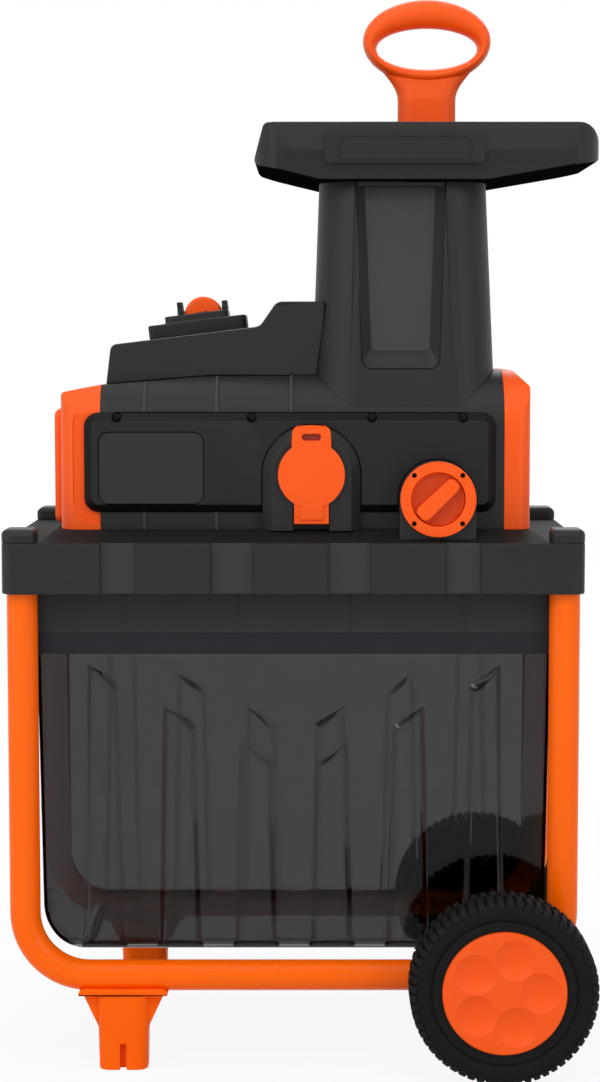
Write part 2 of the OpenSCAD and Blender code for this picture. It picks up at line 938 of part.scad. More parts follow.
// Skirt between the tray and a runner, with thin upright ribs
module skirt(side) {
    color(dark_grey) on_floor() mirror([0, side > 0 ? 1 : 0, 0]) {
        translate([-rail_half, -rail_out, skirt_z]) cube([2 * rail_half, skirt_wall, ceiling_z - skirt_z]);
        for (x = skirt_rib_x) translate([x - skirt_rib_w / 2, -rail_out - skirt_rib_out, skirt_z])
            cube([skirt_rib_w, skirt_rib_out + eps, skirt_h]);
    }
}

module front_skirt() {
    skirt(-1);
}

module rear_skirt() {
    skirt(1);
}

// Runner with the ledge that carries the bin's lip
module runner(side) {
    color(band_blue) on_floor() mirror([0, side > 0 ? 1 : 0, 0]) along_x(-rail_half, rail_half) polygon([
        [-rail_out, runner_z], [-rail_out + skirt_wall + ledge_w, runner_z],
        [-rail_out + skirt_wall + ledge_w, runner_z + ledge_t], [-rail_out + skirt_wall, runner_z + ledge_t],
        [-rail_out + skirt_wall, skirt_z], [-rail_out, skirt_z]
    ]);
}

module front_runner() {
    runner(-1);
}

module rear_runner() {
    runner(1);
}

// Tapered box with rounded lower corners, drawn in by inset and widened by extra across the machine
module tub_block(inset, extra, top) {
    half_x = bin_len / 2 - inset;
    half_y = tub_half - inset + extra;
    low = bin_z + inset;
    intersection() {
        along_y(-2 * tub_half, 2 * tub_half) polygon(rounded([
            [-half_x + bin_draft, low, bin_corner_r - inset], [half_x - bin_draft, low, bin_corner_r - inset],
            [half_x, top, 0], [-half_x, top, 0]
        ]));
        along_x(-bin_len, bin_len) polygon(rounded([
            [-half_y + bin_draft, low, bin_edge_r - inset], [half_y - bin_draft, low, bin_edge_r - inset],
            [half_y, top, 0], [-half_y, top, 0]
        ]));
    }
}

// Outlines of the flutes in the long walls: the slanting tops rise towards the ends
module flute_outlines(inset) {
    half = flute_w / 2 - inset;
    for (side = [0, 1], i = [0 : len(flute_drop) - 1]) mirror([side, 0]) {
        x = (i + 0.5) * flute_pitch;
        top = runner_z - flute_drop[i] - inset;
        polygon([[x - half, bin_z], [x + half, bin_z], [x + half, top], [x - half, top - flute_slant]]);
    }
}

// Bin: fluted, tapered tub with a lip that hangs in the runners
module bin() {
    color(smoke) on_floor() difference() {
        union() {
            tub_block(0, 0, rim_z);
            intersection() {
                tub_block(0, flute_out, rim_z);
                along_y(-2 * tub_half, 2 * tub_half) flute_outlines(0);
            }
            translate([-bin_len / 2 - pull_lip, -lip_out, lip_z])
                cube([bin_len + pull_lip, 2 * lip_out, lip_t]);
        }
        tub_block(bin_wall, 0, rim_z + through);
        intersection() {
            tub_block(bin_wall, flute_out, rim_z + through);
            along_y(-2 * tub_half, 2 * tub_half) flute_outlines(bin_wall);
        }
    }
}

// Housing

// Section of the housing, drawn in by inset, from height low upwards
function housing_section(inset, low = deck_z) =
    let (half = housing_d / 2, c = half - shoulder_r, r = shoulder_r - inset)
    concat(
        [[half - inset, low]],
        arc([c, housing_top - shoulder_r], r, 0, 90),
        arc([-c, housing_top - shoulder_r], r, 90, 180),
        [[-half + inset, low]]
    );

// Everything above the sloping seat of the switch cover, lowered by drop
module above_seat(drop) {
    rate = (seat_drop - seat_knee_drop) / (seat_knee_x - housing_x);
    left_z = housing_top - seat_drop - rate * left_cap_w - drop;
    along_y(-housing_d, housing_d) polygon([
        [cap_left, left_z], [seat_knee_x, housing_top - seat_knee_drop - drop],
        [seat_x, housing_top - seat_end_drop - drop],
        [seat_x, housing_top + housing_h], [cap_left, housing_top + housing_h]
    ]);
}

// Outer solid of the housing with its upright ribs
module housing_block() {
    difference() {
        union() {
            along_x(housing_x, housing_x + housing_w) polygon(housing_section(0));
            for (x = rib_x) along_x(x - rib_w / 2, x + rib_w / 2) polygon(housing_section(-rib_out));
        }
        above_seat(0);
    }
}

// Hollow housing with the openings for the chute, the screws and the adjuster
module housing_shell() {
    difference() {
        housing_block();
        difference() {
            along_x(housing_x - through, housing_x + housing_w + through)
                polygon(housing_section(housing_wall, deck_z - through));
            above_seat(housing_wall);
        }
        chute_block(gap, gap);
        for (x = screw_x) bar_y(x, screw_z, screw_shank_d + 2 * seat_clear, -housing_d, 0);
        bar_y(knob_x, knob_axis, screw_d + 2 * run_clear, -housing_d, 0);
    }
}

module housing_front() {
    color(black) on_floor() intersection() {
        housing_shell();
        translate([housing_x, -housing_d, deck_z]) cube([housing_w, housing_d, 2 * housing_h]);
    }
}

module housing_rear() {
    color(black) on_floor() intersection() {
        housing_shell();
        translate([housing_x, 0, deck_z]) cube([housing_w, housing_d, 2 * housing_h]);
    }
}

// Solid of the left end cap, drawn in by inset
module left_cap_block(inset) {
    x0 = cap_left + inset;
    top = housing_top - seat_drop - inset;
    half = housing_d / 2;
    intersection() {
        along_x(x0, housing_x) polygon(housing_section(inset));
        along_y(-half, half) polygon(rounded([
            [housing_x, deck_z, 0], [x0, deck_z, 0],
            [x0, top - left_cap_fall, left_cap_top_r], [housing_x, top, 0]
        ]));
        translate([0, 0, deck_z]) linear_extrude(housing_h) polygon(rounded([
            [housing_x, -half + inset, 0], [housing_x, half - inset, 0],
            [x0, half - inset, left_cap_r], [x0, -half + inset, left_cap_r]
        ]));
    }
}

// Raised plate on the outer face of the left end cap
module end_plate() {
    half = end_plate_d / 2;
    low = deck_z + end_plate_lift;
    high = low + end_plate_h;
    c = end_plate_bevel;
    hull() {
        along_x(cap_left - end_plate_out + c, cap_left + housing_wall)
            polygon(rounded_box(-half, low, half, high, end_plate_r));
        along_x(cap_left - end_plate_out, cap_left)
            polygon(rounded_box(-half + c, low + c, half - c, high - c, end_plate_r - c));
    }
}

module left_end_cap() {
    color(orange) on_floor() {
        difference() {
            left_cap_block(0);
            translate([through, 0, -through]) left_cap_block(housing_wall);
        }
        end_plate();
    }
}

// Solid of the right end cap, drawn in by inset
module right_cap_block(inset) {
    x0 = housing_x + housing_w;
    x1 = cap_right - inset;
    top = housing_top - inset;
    half = housing_d / 2;
    bevel = right_cap_bevel;
    soft = right_cap_edge_r;
    intersection() {
        along_x(x0, x1) polygon(housing_section(inset));
        along_y(-half, half) polygon(rounded([
            [x0, deck_z, 0], [x1, deck_z, 0], [x1, top - bevel, soft], [x1 - bevel, top, soft], [x0, top, 0]
        ]));
        translate([0, 0, deck_z]) linear_extrude(housing_h) polygon(rounded([
            [x0, -half + inset, 0], [x1, -half + inset, right_cap_r],
            [x1, half - inset, right_cap_r], [x0, half - inset, 0]
        ]));
    }
}

module right_end_cap() {
    color(orange) on_floor() difference() {
        right_cap_block(0);
        translate([-through, 0, -through]) right_cap_block(housing_wall);
    }
}

// Everything behind the front face of the housing and the end caps
module behind_front() {
    along_x(cap_left - through, cap_right + through) polygon(housing_section(0));
    for (x = rib_x) along_x(x - rib_w / 2, x + rib_w / 2) polygon(housing_section(-rib_out));
}

// Front panel

// Solid of the front panel with its bevelled front edge
module panel_block() {
    x1 = panel_x + panel_w;
    z1 = panel_z + panel_h;
    c = panel_chamfer;
    hull() {
        along_y(-panel_front + c, -housing_d / 2 + shoulder_r / 2)
            polygon(rounded_box(panel_x, panel_z, x1, z1, panel_r));
        along_y(-panel_front, -panel_front + c)
            polygon(rounded_box(panel_x + c, panel_z + c, x1 - c, z1 - c, panel_r - c));
    }
}

// Front panel with its bare label recess and screw pockets, cut out round the inlet and the knob
module front_panel() {
    color(black) on_floor() difference() {
        panel_block();
        behind_front();
        inlet_block(gap);
        knob_block(gap);
        along_y(-panel_front - through, -panel_front + label_deep)
            polygon(rounded_box(label_x, label_z, label_x + label_w, label_z + label_h, label_r));
        for (x = screw_x) {
            bar_y(x, screw_z, screw_pocket_d, -panel_front - through, -panel_front + screw_pocket);
            bar_y(x, screw_z, screw_shank_d + 2 * seat_clear, -panel_front, 0);
        }
    }
}

// Panel screws, and the small screws of the knob ring
module cover_screws() {
    head = -panel_front + screw_pocket;
    shank_end = -housing_d / 2 + screw_reach;
    ring_front = -knob_front - ring_t;
    color(steel) on_floor() {
        for (x = screw_x) {
            bar_y(x, screw_z, screw_head_d, head - screw_head_h, head);
            bar_y(x, screw_z, screw_shank_d, head - eps, shank_end);
        }
        for (a = [45 : 90 : 315])
            translate([knob_x + ring_screw_pcd / 2 * cos(a), 0, knob_axis + ring_screw_pcd / 2 * sin(a)])
                bar_y(0, 0, ring_screw_d, ring_front + ring_screw_sink, -knob_front);
    }
}

// Power inlet

// Arch of the inlet boss, grown by extra, from height low upwards
module inlet_outline(extra, low) {
    half = inlet_w / 2 + extra;
    polygon(concat([[inlet_x + half, low]], arc([inlet_x, flap_z], half, 0, 180), [[inlet_x - half, low]]));
}

// Bevelled solid of the inlet boss, grown by extra
module inlet_block(extra) {
    low = deck_z - extra;
    hull() {
        along_y(-panel_front - extra, -housing_d / 2 + shoulder_r / 2) inlet_outline(extra, low);
        along_y(-boss_front - extra, -panel_front) inlet_outline(extra - inlet_bevel, low);
    }
}

// Section of a hinge ear, from the hinge back to y1 or forward to it
module hinge_ear(y1) {
    back = y1 > hinge_y;
    polygon(concat(
        arc([hinge_y, hinge_z], knuckle_r, back ? 90 : -90, back ? 270 : 90),
        back ? [[y1, hinge_z - knuckle_r], [y1, hinge_z + knuckle_r]]
             : [[y1, hinge_z + knuckle_r], [y1, hinge_z - knuckle_r]]
    ));
}

// Arched boss with the inlet recess, a pocket for the hinge and the hinge lug
module inlet_boss() {
    pocket_y = hinge_y + hinge_sweep;
    pocket_half = flap_base_half + 2 * gap;
    color(black) on_floor() difference() {
        union() {
            difference() {
                inlet_block(0);
                behind_front();
                bar_y(inlet_x, flap_z, inlet_bore, -boss_front - through, -boss_front + inlet_deep);
                translate([inlet_x - pocket_half, -boss_front - through, deck_z - through])
                    cube([2 * pocket_half, pocket_y + boss_front + through,
                        hinge_z + hinge_sweep - deck_z + through]);
            }
            along_x(inlet_x - lug_w / 2, inlet_x + lug_w / 2) hinge_ear(pocket_y + eps);
        }
        bar_x(hinge_y, hinge_z, hinge_pin_d + 2 * run_clear, inlet_x - lug_w, inlet_x + lug_w);
    }
}

module inlet_pins() {
    floor_y = -boss_front + inlet_deep;
    reach = inlet_deep - pin_sink;
    color(steel) on_floor() {
        for (s = [-1, 1]) bar_y(inlet_x + s * pin_pitch / 2, flap_z, pin_d, floor_y - reach, floor_y);
        bar_y(inlet_x, flap_z + pin_pitch / 2, pin_d, floor_y - reach, floor_y);
    }
}

// Keyhole-shaped flap with a finger tab, a tongue and two hinge cheeks
module inlet_flap() {
    half = flap_tab_w / 2;
    top_half = half - flap_tab_in;
    tongue_half = flap_base_half - tongue_in;
    tongue_z = hinge_z - flap_low + 2 * tongue_out;
    slot_z = flap_top - tab_slot_drop - tab_slot_h;
    cheek_in = lug_w / 2 + gap;
    color(orange) on_floor() difference() {
        union() {
            along_y(-flap_front, -flap_back) {
                translate([inlet_x, flap_z]) circle(d = flap_d);
                polygon(rounded([
                    [inlet_x - half, flap_z, 0], [inlet_x + half, flap_z, 0],
                    [inlet_x + half, flap_top - flap_tab_h, flap_tab_r],
                    [inlet_x + top_half, flap_top, flap_tab_r],
                    [inlet_x - top_half, flap_top, flap_tab_r],
                    [inlet_x - half, flap_top - flap_tab_h, flap_tab_r]
                ]));
                translate([inlet_x - flap_base_half, hinge_z - flap_low])
                    square([2 * flap_base_half, flap_z - hinge_z + flap_low]);
            }
            along_y(-flap_front - tongue_out, -flap_front + eps) polygon(rounded_box(
                inlet_x - tongue_half, tongue_z, inlet_x + tongue_half, tongue_z + tongue_h, 2 * tongue_out));
            for (s = [0, 1]) translate([inlet_x, 0, 0]) mirror([s, 0, 0])
                along_x(cheek_in, cheek_in + cheek_w) hinge_ear(-flap_back - eps);
        }
        bar_x(hinge_y, hinge_z, hinge_pin_d + 2 * run_clear, inlet_x - 2 * lug_w, inlet_x + 2 * lug_w);
        along_y(-flap_front - through, -flap_front + tab_slot_deep) polygon(rounded_box(
            inlet_x - tab_slot_w / 2, slot_z,
            inlet_x + tab_slot_w / 2, slot_z + tab_slot_h, tab_slot_h / 2 - eps));
    }
}

module flap_pin() {
    half = lug_w / 2 + gap + cheek_w;
    color(steel) on_floor() bar_x(hinge_y, hinge_z, hinge_pin_d, inlet_x - half, inlet_x + half);
}

// Adjuster

module knob_block(extra) {
    half = knob_half + extra;
    along_y(-knob_front - extra, -housing_d / 2 + shoulder_r / 2) polygon(concat(
        [[knob_x + half, edge_z]], arc([knob_x, knob_axis], half, 0, 180), [[knob_x - half, edge_z]]
    ));
}

module knob_boss() {
    color(black) on_floor() difference() {
        knob_block(0);
        behind_front();
        deck_block(tray_z);
        bar_y(knob_x, knob_axis, dial_d + 2 * gap, -knob_front - through, -knob_front + dial_sink);
        bar_y(knob_x, knob_axis, screw_d + 2 * run_clear, -knob_front, 0);
    }
}

module knob_ring() {
    color(orange) on_floor() difference() {
        bar_y(knob_x, knob_axis, ring_d, -knob_front - ring_t, -knob_front);
        bar_y(knob_x, knob_axis, dial_d + 2 * gap, -knob_front - ring_t - through, -knob_front + through);
        for (a = [45 : 90 : 315])
            translate([knob_x + ring_screw_pcd / 2 * cos(a), 0, knob_axis + ring_screw_pcd / 2 * sin(a)])
                bar_y(0, 0, ring_screw_d + 2 * seat_clear,
                    -knob_front - ring_t - through, -knob_front + through);
    }
}

// Dial with a diagonal grip
module adjust_knob() {
    face = -knob_front - dial_proud;
    grip_half = dial_d / 2 - grip_in;
    color(orange) on_floor() {
        bar_y(knob_x, knob_axis, dial_d, face, -knob_front + dial_sink - gap);
        translate([knob_x, 0, knob_axis]) rotate([0, -45, 0]) along_y(face - grip_h, face + eps)
            polygon(rounded_box(-grip_half, -grip_w / 2, grip_half, grip_w / 2, grip_w / 2 - eps));
    }
}

module adjust_screw() {
    color(steel) on_floor()
        bar_y(knob_x, knob_axis, screw_d, -knob_front + dial_sink - gap, -anvil_front + anvil_bite);
}

// Anvil with a bevelled upper edge, bored for the adjusting screw
module anvil() {
    low = deck_z + anvil_low;
    face = -anvil_front + anvil_t;
    color(steel) on_floor() difference() {
        along_x(plate_left + 2 * plate_w_drum, plate_right - 2 * plate_w_drum) polygon([
            [-anvil_front, low], [face, low], [face, low + anvil_h - anvil_t],
            [-anvil_front + anvil_t / 2, low + anvil_h], [-anvil_front, low + anvil_h]
        ]);
        bar_y(knob_x, knob_axis, screw_d + 2 * run_clear, -anvil_front - through, -anvil_front + anvil_bore);
    }
}

module anvil_bed() {
    color(dark_grey) on_floor()
        translate([plate_left + 2 * plate_w_drum, -anvil_front - bed_lap, deck_z])
            cube([2 * chute_low_half - 4 * plate_w_drum, anvil_front + bed_lap - bed_inner, anvil_low - gap]);
}

// Switch

// Outline of the switch cover from the side, drawn in by inset
module cover_outline(inset) {
    rise = tan(cover_slope) * (step_x - slope_x);
    peak = housing_top - seat_end_drop + cover_peak - inset;
    polygon(rounded([
        [cover_x + inset, cover_z - housing_h / 2, 0],
        [cover_x + inset, cover_z, 0],
        [slope_x + inset, slope_z - inset, cover_front_r],
        [step_x + inset, slope_z + rise - inset, step_r],
        [step_x + step_w + inset, peak, step_r],
        [seat_x - inset, peak, 0],
        [seat_x - inset, cover_z - housing_h / 2, 0]
    ]));
}

// Sloping switch cover, seated on the housing and shaped round the chute
module switch_cover() {
    half = cover_d / 2;
    top = housing_top + cover_peak;
    color(black) on_floor() difference() {
        intersection() {
            along_y(-half, half) cover_outline(0);
            along_x(cover_x, seat_x) polygon(rounded([
                [-half, deck_z, 0], [half, deck_z, 0], [half, top, cover_front_r], [-half, top, cover_front_r]
            ]));
        }
        difference() {
            along_y(-half + cover_wall, half - cover_wall) cover_outline(cover_wall);
            chute_block(gap + cover_wall, gap);
        }
        housing_block();
        chute_block(gap, gap);
    }
}

// Places a part on the cover's slope, under the rocker
module on_slope() {
    on_floor() translate([rocker_x, 0, slope_z + tan(cover_slope) * (rocker_x - slope_x)])
        rotate([0, -cover_slope, 0]) children();
}

// Bearing bore for the rocker's trunnions
module trunnion_bore() {
    half = rocker_w / 2 + trunnion_len + gap;
    bar_y(0, switch_top - pivot_drop, trunnion_d + 2 * run_clear, -half, half);
}

// Stepped base of the switch with the rocker's pocket
module switch_base() {
    in_x = rocker_r + guard_space;
    in_y = rocker_w / 2 + gap;
    pocket_z = switch_top - pivot_drop - rocker_dip;
    color(black) on_slope() difference() {
        translate([base_off, 0, 0]) {
            linear_extrude(base_h)
                polygon(rounded_box(-base_w / 2, -base_d / 2, base_w / 2, base_d / 2, base_r));
            translate([0, 0, base_h - eps]) linear_extrude(base_step_h + eps) polygon(rounded_box(
                -base_step_w / 2, -base_step_d / 2, base_step_w / 2, base_step_d / 2, base_r));
        }
        translate([-in_x, -in_y, pocket_z]) cube([2 * in_x, 2 * in_y, switch_top]);
        trunnion_bore();
    }
}

// Guard frame round the rocker, with a raised ear at each end
module switch_guard() {
    in_x = rocker_r + guard_space;
    in_y = rocker_w / 2 + gap;
    color(black) on_slope() difference() {
        union() {
            translate([-in_x - guard_wall, -in_y - guard_wall, switch_top])
                cube([2 * (in_x + guard_wall), 2 * (in_y + guard_wall), guard_h]);
            for (s = [0, 1]) mirror([s, 0, 0]) translate([in_x, -in_y, switch_top])
                cube([guard_wall, 2 * in_y, guard_ear_h[s]]);
        }
        translate([-in_x, -in_y, switch_top - through]) cube([2 * in_x, 2 * in_y, guard_h + 2 * through]);
        trunnion_bore();
    }
}

// Half-round rocker on two trunnions
module switch_rocker() {
    color(orange) on_slope() translate([0, 0, switch_top - pivot_drop]) {
        along_y(-rocker_w / 2, rocker_w / 2) polygon(concat(
            arc([0, 0], rocker_r, 0, 180), [[-rocker_hub_r, -rocker_hub_r], [rocker_hub_r, -rocker_hub_r]]
        ));
        bar_y(0, 0, trunnion_d, -rocker_w / 2 - trunnion_len, rocker_w / 2 + trunnion_len);
    }
}

// Hopper

// Thin rounded slab at height z
module slab(x, z, half_x, half_y, r) {
    translate([x, 0, z]) linear_extrude(eps) polygon(rounded_box(-half_x, -half_y, half_x, half_y, r));
}

// Tapered column of the chute, grown by extra and lengthened at both ends by reach
module chute_block(extra, reach) {
    half = chute_w / 2 + extra;
    half_d = chute_d / 2 + extra;
    r = chute_r + extra;
    hull() {
        slab(chute_x, chute_z - reach, half + chute_flare, half_d + chute_lean, r);
        slab(chute_x, funnel_z + reach - eps, half, half_d, r);
    }
}

// Sunken channel in the front of the chute, grown by extra
module channel_block(extra) {
    tall = funnel_z - chute_z;
    lean = atan(chute_lean / tall);
    low = channel_low - chute_z + deck_z;
    half = channel_w / 2 + extra;
    deep = channel_deep + extra;
    r = channel_r + extra;
    translate([chute_x + channel_off, -chute_d / 2 - chute_lean, chute_z]) rotate([-lean, 0, 0]) hull() {
        along_y(-through, eps) polygon(rounded([
            [-half + channel_taper, low, r], [half - channel_taper, low, r],
            [half, tall + through, 0], [-half, tall + through, 0]
        ]));
        along_y(deep - eps, deep) polygon(rounded([
            [-half + channel_taper + channel_slope, low + channel_facet, r / 2],
            [half - channel_taper - channel_slope, low + channel_facet, r / 2],
            [half - channel_slope, tall + through, 0], [-half + channel_slope, tall + through, 0]
        ]));
    }
}

// Feed chute with its sunken front channel
module hopper_chute() {
    color(black) on_floor() difference() {
        chute_block(0, 0);
        channel_block(0);
        difference() {
            chute_block(-chute_wall, through);
            channel_block(chute_wall);
        }
        for (x = screw_x)
            bar_y(x, screw_z, screw_shank_d + 2 * seat_clear, -housing_d, -housing_d / 2 + screw_reach + gap);
    }
}

// Solid of the funnel, drawn in by inset, up to height top
module funnel_block(inset, top) {
    x0 = funnel_x - funnel_w / 2 + inset;
    x1 = funnel_x + funnel_w / 2 - inset;
    low = funnel_z + inset;
    half = funnel_d / 2 - inset;
    low_half = chute_d / 2 + funnel_lip - inset;
    end_z = low + funnel_rise;
    bend = funnel_bend_r;
    left_r = inset > 0 ? 0 : funnel_left_r;
    right_r = inset > 0 ? 0 : funnel_right_r;
    intersection() {
        along_y(-funnel_d, funnel_d) polygon(rounded([
            [x0, end_z - funnel_left_drop, bend],
            [chute_x - chute_w / 2, low, bend], [chute_x + chute_w / 2, low, bend],
            [x1, end_z, bend], [x1, top, right_r], [x0 + funnel_left_in, top, left_r]
        ]));
        along_x(x0 - through, x1 + through) polygon(rounded([
            [-low_half, low, 0], [low_half, low, 0], [half, funnel_z + crease_h, bend],
            [half - funnel_in, top, 0], [-half + funnel_in, top, 0], [-half, funnel_z + crease_h, bend]
        ]));
        translate([0, 0, funnel_z]) linear_extrude(2 * funnel_h)
            polygon(rounded_box(x0, -half, x1, half, funnel_r - inset));
    }
}

// Feed funnel, open at the top and over the chute
module hopper_funnel() {
    half = chute_w / 2 - chute_wall;
    half_d = chute_d / 2 - chute_wall;
    color(black) on_floor() difference() {
        funnel_block(0, funnel_top);
        funnel_block(funnel_wall, funnel_top + through);
        translate([chute_x, 0, funnel_z - through]) linear_extrude(funnel_h)
            polygon(rounded_box(-half, -half_d, half, half_d, chute_r - chute_wall));
    }
}

// Bare plate on the funnel's front, with a thin raised border
module name_plate() {
    x0 = chute_x - plate_w / 2;
    z0 = funnel_z + plate_lift;
    face = -funnel_d / 2 - plate_t + plate_seat;
    far_x = x0 + plate_w - line_in_x;
    far_z = z0 + plate_h - line_in_z;
    color(dark_grey) on_floor() {
        difference() {
            along_y(face, -funnel_d / 2 + funnel_r / 2)
                polygon(rounded_box(x0, z0, x0 + plate_w, z0 + plate_h, plate_r));
            funnel_block(0, funnel_top);
            translate([0, funnel_r, 0]) funnel_block(0, funnel_top);
        }
        along_y(face - line_out, face + eps) difference() {
            polygon(rounded_box(x0 + line_in_x, z0 + line_in_z, far_x, far_z, plate_r));
            polygon(rounded_box(x0 + line_in_x + line_w, z0 + line_in_z + line_w,
                far_x - line_w, far_z - line_w, plate_r - line_w));
        }
    }
}

// Pusher

// Point of the loop's skin: t runs round the loop, s round its section
function loop_point(t, s) =
    let (outer = [loop_w / 2 * cos(t), loop_h / 2 * sin(t)])
    let (inner = [hole_w / 2 * cos(t), hole_h / 2 * sin(t) - hole_drop])
    let (mid = (outer + inner) / 2, reach = (outer - inner) / 2)
    [pusher_x + mid[0] + reach[0] * cos(s), -loop_t / 2 * sin(s), loop_z + mid[1] + reach[1] * cos(s)];

// Closed ring skinned over loop_point
module grip_loop() {
    points = [for (i = [0 : loop_steps - 1], j = [0 : loop_sides - 1])
        loop_point(360 * i / loop_steps, 360 * j / loop_sides)];
    function at(i, j) = (i % loop_steps) * loop_sides + j % loop_sides;
    faces = [for (i = [0 : loop_steps - 1], j = [0 : loop_sides - 1], k = [0, 1])
        k == 0 ? [at(i, j), at(i, j + 1), at(i + 1, j + 1)] : [at(i, j), at(i + 1, j + 1), at(i + 1, j)]];
    polyhedron(points, faces);
}

// Neck that flares into the loop: the flare follows a quarter cosine
module neck_flare() {
    for (i = [0 : flare_steps - 1]) {
        grow = flare_w * (1 - cos(90 * i / flare_steps));
        slim = flare_slim * i / flare_steps;
        half = neck_t / 2 - slim;
        translate([pusher_x, 0, flare_z + flare_h * i / flare_steps])
            linear_extrude(flare_h / flare_steps + eps)
                polygon(rounded_box(-neck_w / 2 - grow, -half, neck_w / 2 + grow, half, half - eps));
    }
}

// Pusher: grip loop, flared neck, stop bar and a ribbed paddle
module pusher() {
    stop_z = funnel_z + funnel_wall + gap;
    stop_half = chute_d / 2 - chute_wall + stop_lap;
    foot_z = stop_z - paddle_h;
    half = chute_x + chute_w / 2 - chute_wall - pusher_x - paddle_side;
    color(orange) on_floor() {
        grip_loop();
        neck_flare();
        translate([pusher_x, 0, stop_z]) linear_extrude(flare_z - stop_z + eps) polygon(rounded_box(
            -neck_w / 2, -neck_t / 2, neck_w / 2, neck_t / 2, neck_t / 2 - eps));
        translate([pusher_x - neck_w / 2, -stop_half, stop_z]) cube([neck_w, 2 * stop_half, stop_t]);
        translate([pusher_x - half, -paddle_web / 2, foot_z]) cube([2 * half, paddle_web, paddle_h + eps]);
        translate([pusher_x - paddle_web / 2, -paddle_d / 2, foot_z])
            cube([paddle_web, paddle_d, paddle_h + eps]);
        translate([pusher_x, 0, foot_z]) linear_extrude(paddle_foot)
            polygon(rounded_box(-half, -paddle_d / 2, half, paddle_d / 2, paddle_foot));
    }
}

// Cutter and drive

// Upright plate across the machine, drilled for bearings given as [y, diameter]
module bearing_plate(x0, t, bores) {
    difference() {
        along_x(x0, x0 + t) polygon(rounded([
            [-side_d / 2, deck_z, 0], [side_d / 2, deck_z, 0],
            [side_d / 2, chute_z, side_r], [-side_d / 2, chute_z, side_r]
        ]));
        for (b = bores) bar_x(b[0], axis_z, b[1], x0 - through, x0 + t + through);
    }
}

module drum_plates() {
    bore = drum_bearing_d + 2 * seat_clear;
    color(steel) on_floor() {
        bearing_plate(plate_left, plate_w_drum, [[0, bore], [idler_y, idler_shaft_d + 2 * run_clear]]);
        bearing_plate(plate_right - plate_w_drum, plate_w_drum, [[0, bore]]);
    }
}

module drum_bearings() {
    color(steel) on_floor() for (x = [plate_left, plate_right - plate_w_drum])
        ring_x(0, axis_z, drum_bearing_d, drum_shaft_d + 2 * run_clear, x, x + plate_w_drum);
}

module drum_shaft() {
    color(steel) on_floor() bar_x(0, axis_z, drum_shaft_d, stage_two, plate_right + shaft_over);
}

// Drum with twisted saw teeth
module cutting_drum() {
    x0 = plate_left + plate_w_drum + gap;
    long = 2 * (chute_low_half - plate_w_drum - gap);
    root = drum_r - tooth_h;
    pitch = 360 / tooth_count;
    saw = [for (i = [0 : tooth_count - 1]) each [
        root * [cos(pitch * i), sin(pitch * i)],
        drum_r * [cos(pitch * (i + tip_from)), sin(pitch * (i + tip_from))],
        drum_r * [cos(pitch * (i + tip_to)), sin(pitch * (i + tip_to))],
        root * [cos(pitch * (i + gullet)), sin(pitch * (i + gullet))]
    ]];
    color(steel) on_floor() difference() {
        translate([x0, 0, axis_z]) rotate([90, 0, 90])
            linear_extrude(long, twist = drum_twist, slices = drum_slices) polygon(saw);
        bar_x(0, axis_z, drum_shaft_d + 2 * run_clear, x0 - through, x0 + long + through);
    }
}

// Involute angle, in degrees, at radius r over base radius rb
function involute(rb, r) = let (a = acos(min(1, rb / r))) tan(a) * 180 / PI - a;

// Gear outline: straight-sided approximation of an involute tooth, with a tooth on the +X axis
function gear_points(teeth) =
    let (rp = gear_m * teeth / 2, rb = rp * cos(pressure))
    let (slack = backlash * 180 / PI / rp, tip = rp + addendum, root = rp - dedendum)
    let (half = function (r) 90 / teeth - slack + involute(rb, rp) - involute(rb, max(r, rb)))
    [for (i = [0 : teeth - 1], k = [0 : 5])
        let (r = [root, rp, tip, tip, rp, root][k])
        let (a = 360 * i / teeth + (k < 3 ? -1 : 1) * half(r))
        r * [cos(a), sin(a)]];

// Gear along X at distance y from the drive axis, turned by turn
module gear_x(teeth, x0, y, turn) {
    translate([x0, y, axis_z]) rotate([90, 0, 90]) rotate([0, 0, turn])
        linear_extrude(gear_w) polygon(gear_points(teeth));
}

module drum_gear() {
    color(steel) on_floor() difference() {
        gear_x(wheel_teeth, stage_two, 0, 0);
        bar_x(0, axis_z, drum_shaft_d + 2 * run_clear, stage_two - through, stage_two + gear_w + through);
    }
}

// Large gear and pinion on one sleeve
module idler_gear() {
    sleeve = 2 * (pinion_r - dedendum);
    color(steel) on_floor() difference() {
        union() {
            gear_x(wheel_teeth, stage_one, idler_y, 180 + 180 / wheel_teeth);
            gear_x(pinion_teeth, stage_two, idler_y, 180 + 180 / pinion_teeth);
            bar_x(idler_y, axis_z, sleeve, stage_one + gear_w - eps, stage_two + eps);
        }
        bar_x(idler_y, axis_z, idler_shaft_d + 2 * run_clear,
            stage_one - through, stage_two + gear_w + through);
    }
}

module idler_shaft() {
    color(steel) on_floor() bar_x(idler_y, axis_z, idler_shaft_d, gear_plate_x, plate_left + plate_w_drum);
}

module gear_plate() {
    color(steel) on_floor() bearing_plate(gear_plate_x, gear_plate_t, [
        [0, motor_bearing_d + 2 * seat_clear], [idler_y, idler_shaft_d + 2 * run_clear]
    ]);
}

module motor_pinion() {
    color(steel) on_floor() difference() {
        gear_x(pinion_teeth, stage_one, 0, 0);
        bar_x(0, axis_z, motor_shaft_d + 2 * run_clear, stage_one - through, stage_one + gear_w + through);
    }
}

// Motor can with a closed left end that holds a bearing
module motor_can() {
    color(steel) on_floor() difference() {
        bar_x(0, axis_z, motor_d, motor_x, gear_plate_x);
        bar_x(0, axis_z, motor_d - 2 * can_wall, motor_x + bell_t, gear_plate_x + through);
        bar_x(0, axis_z, motor_bearing_d + 2 * seat_clear, motor_x - through, motor_x + 2 * bell_t);
    }
}

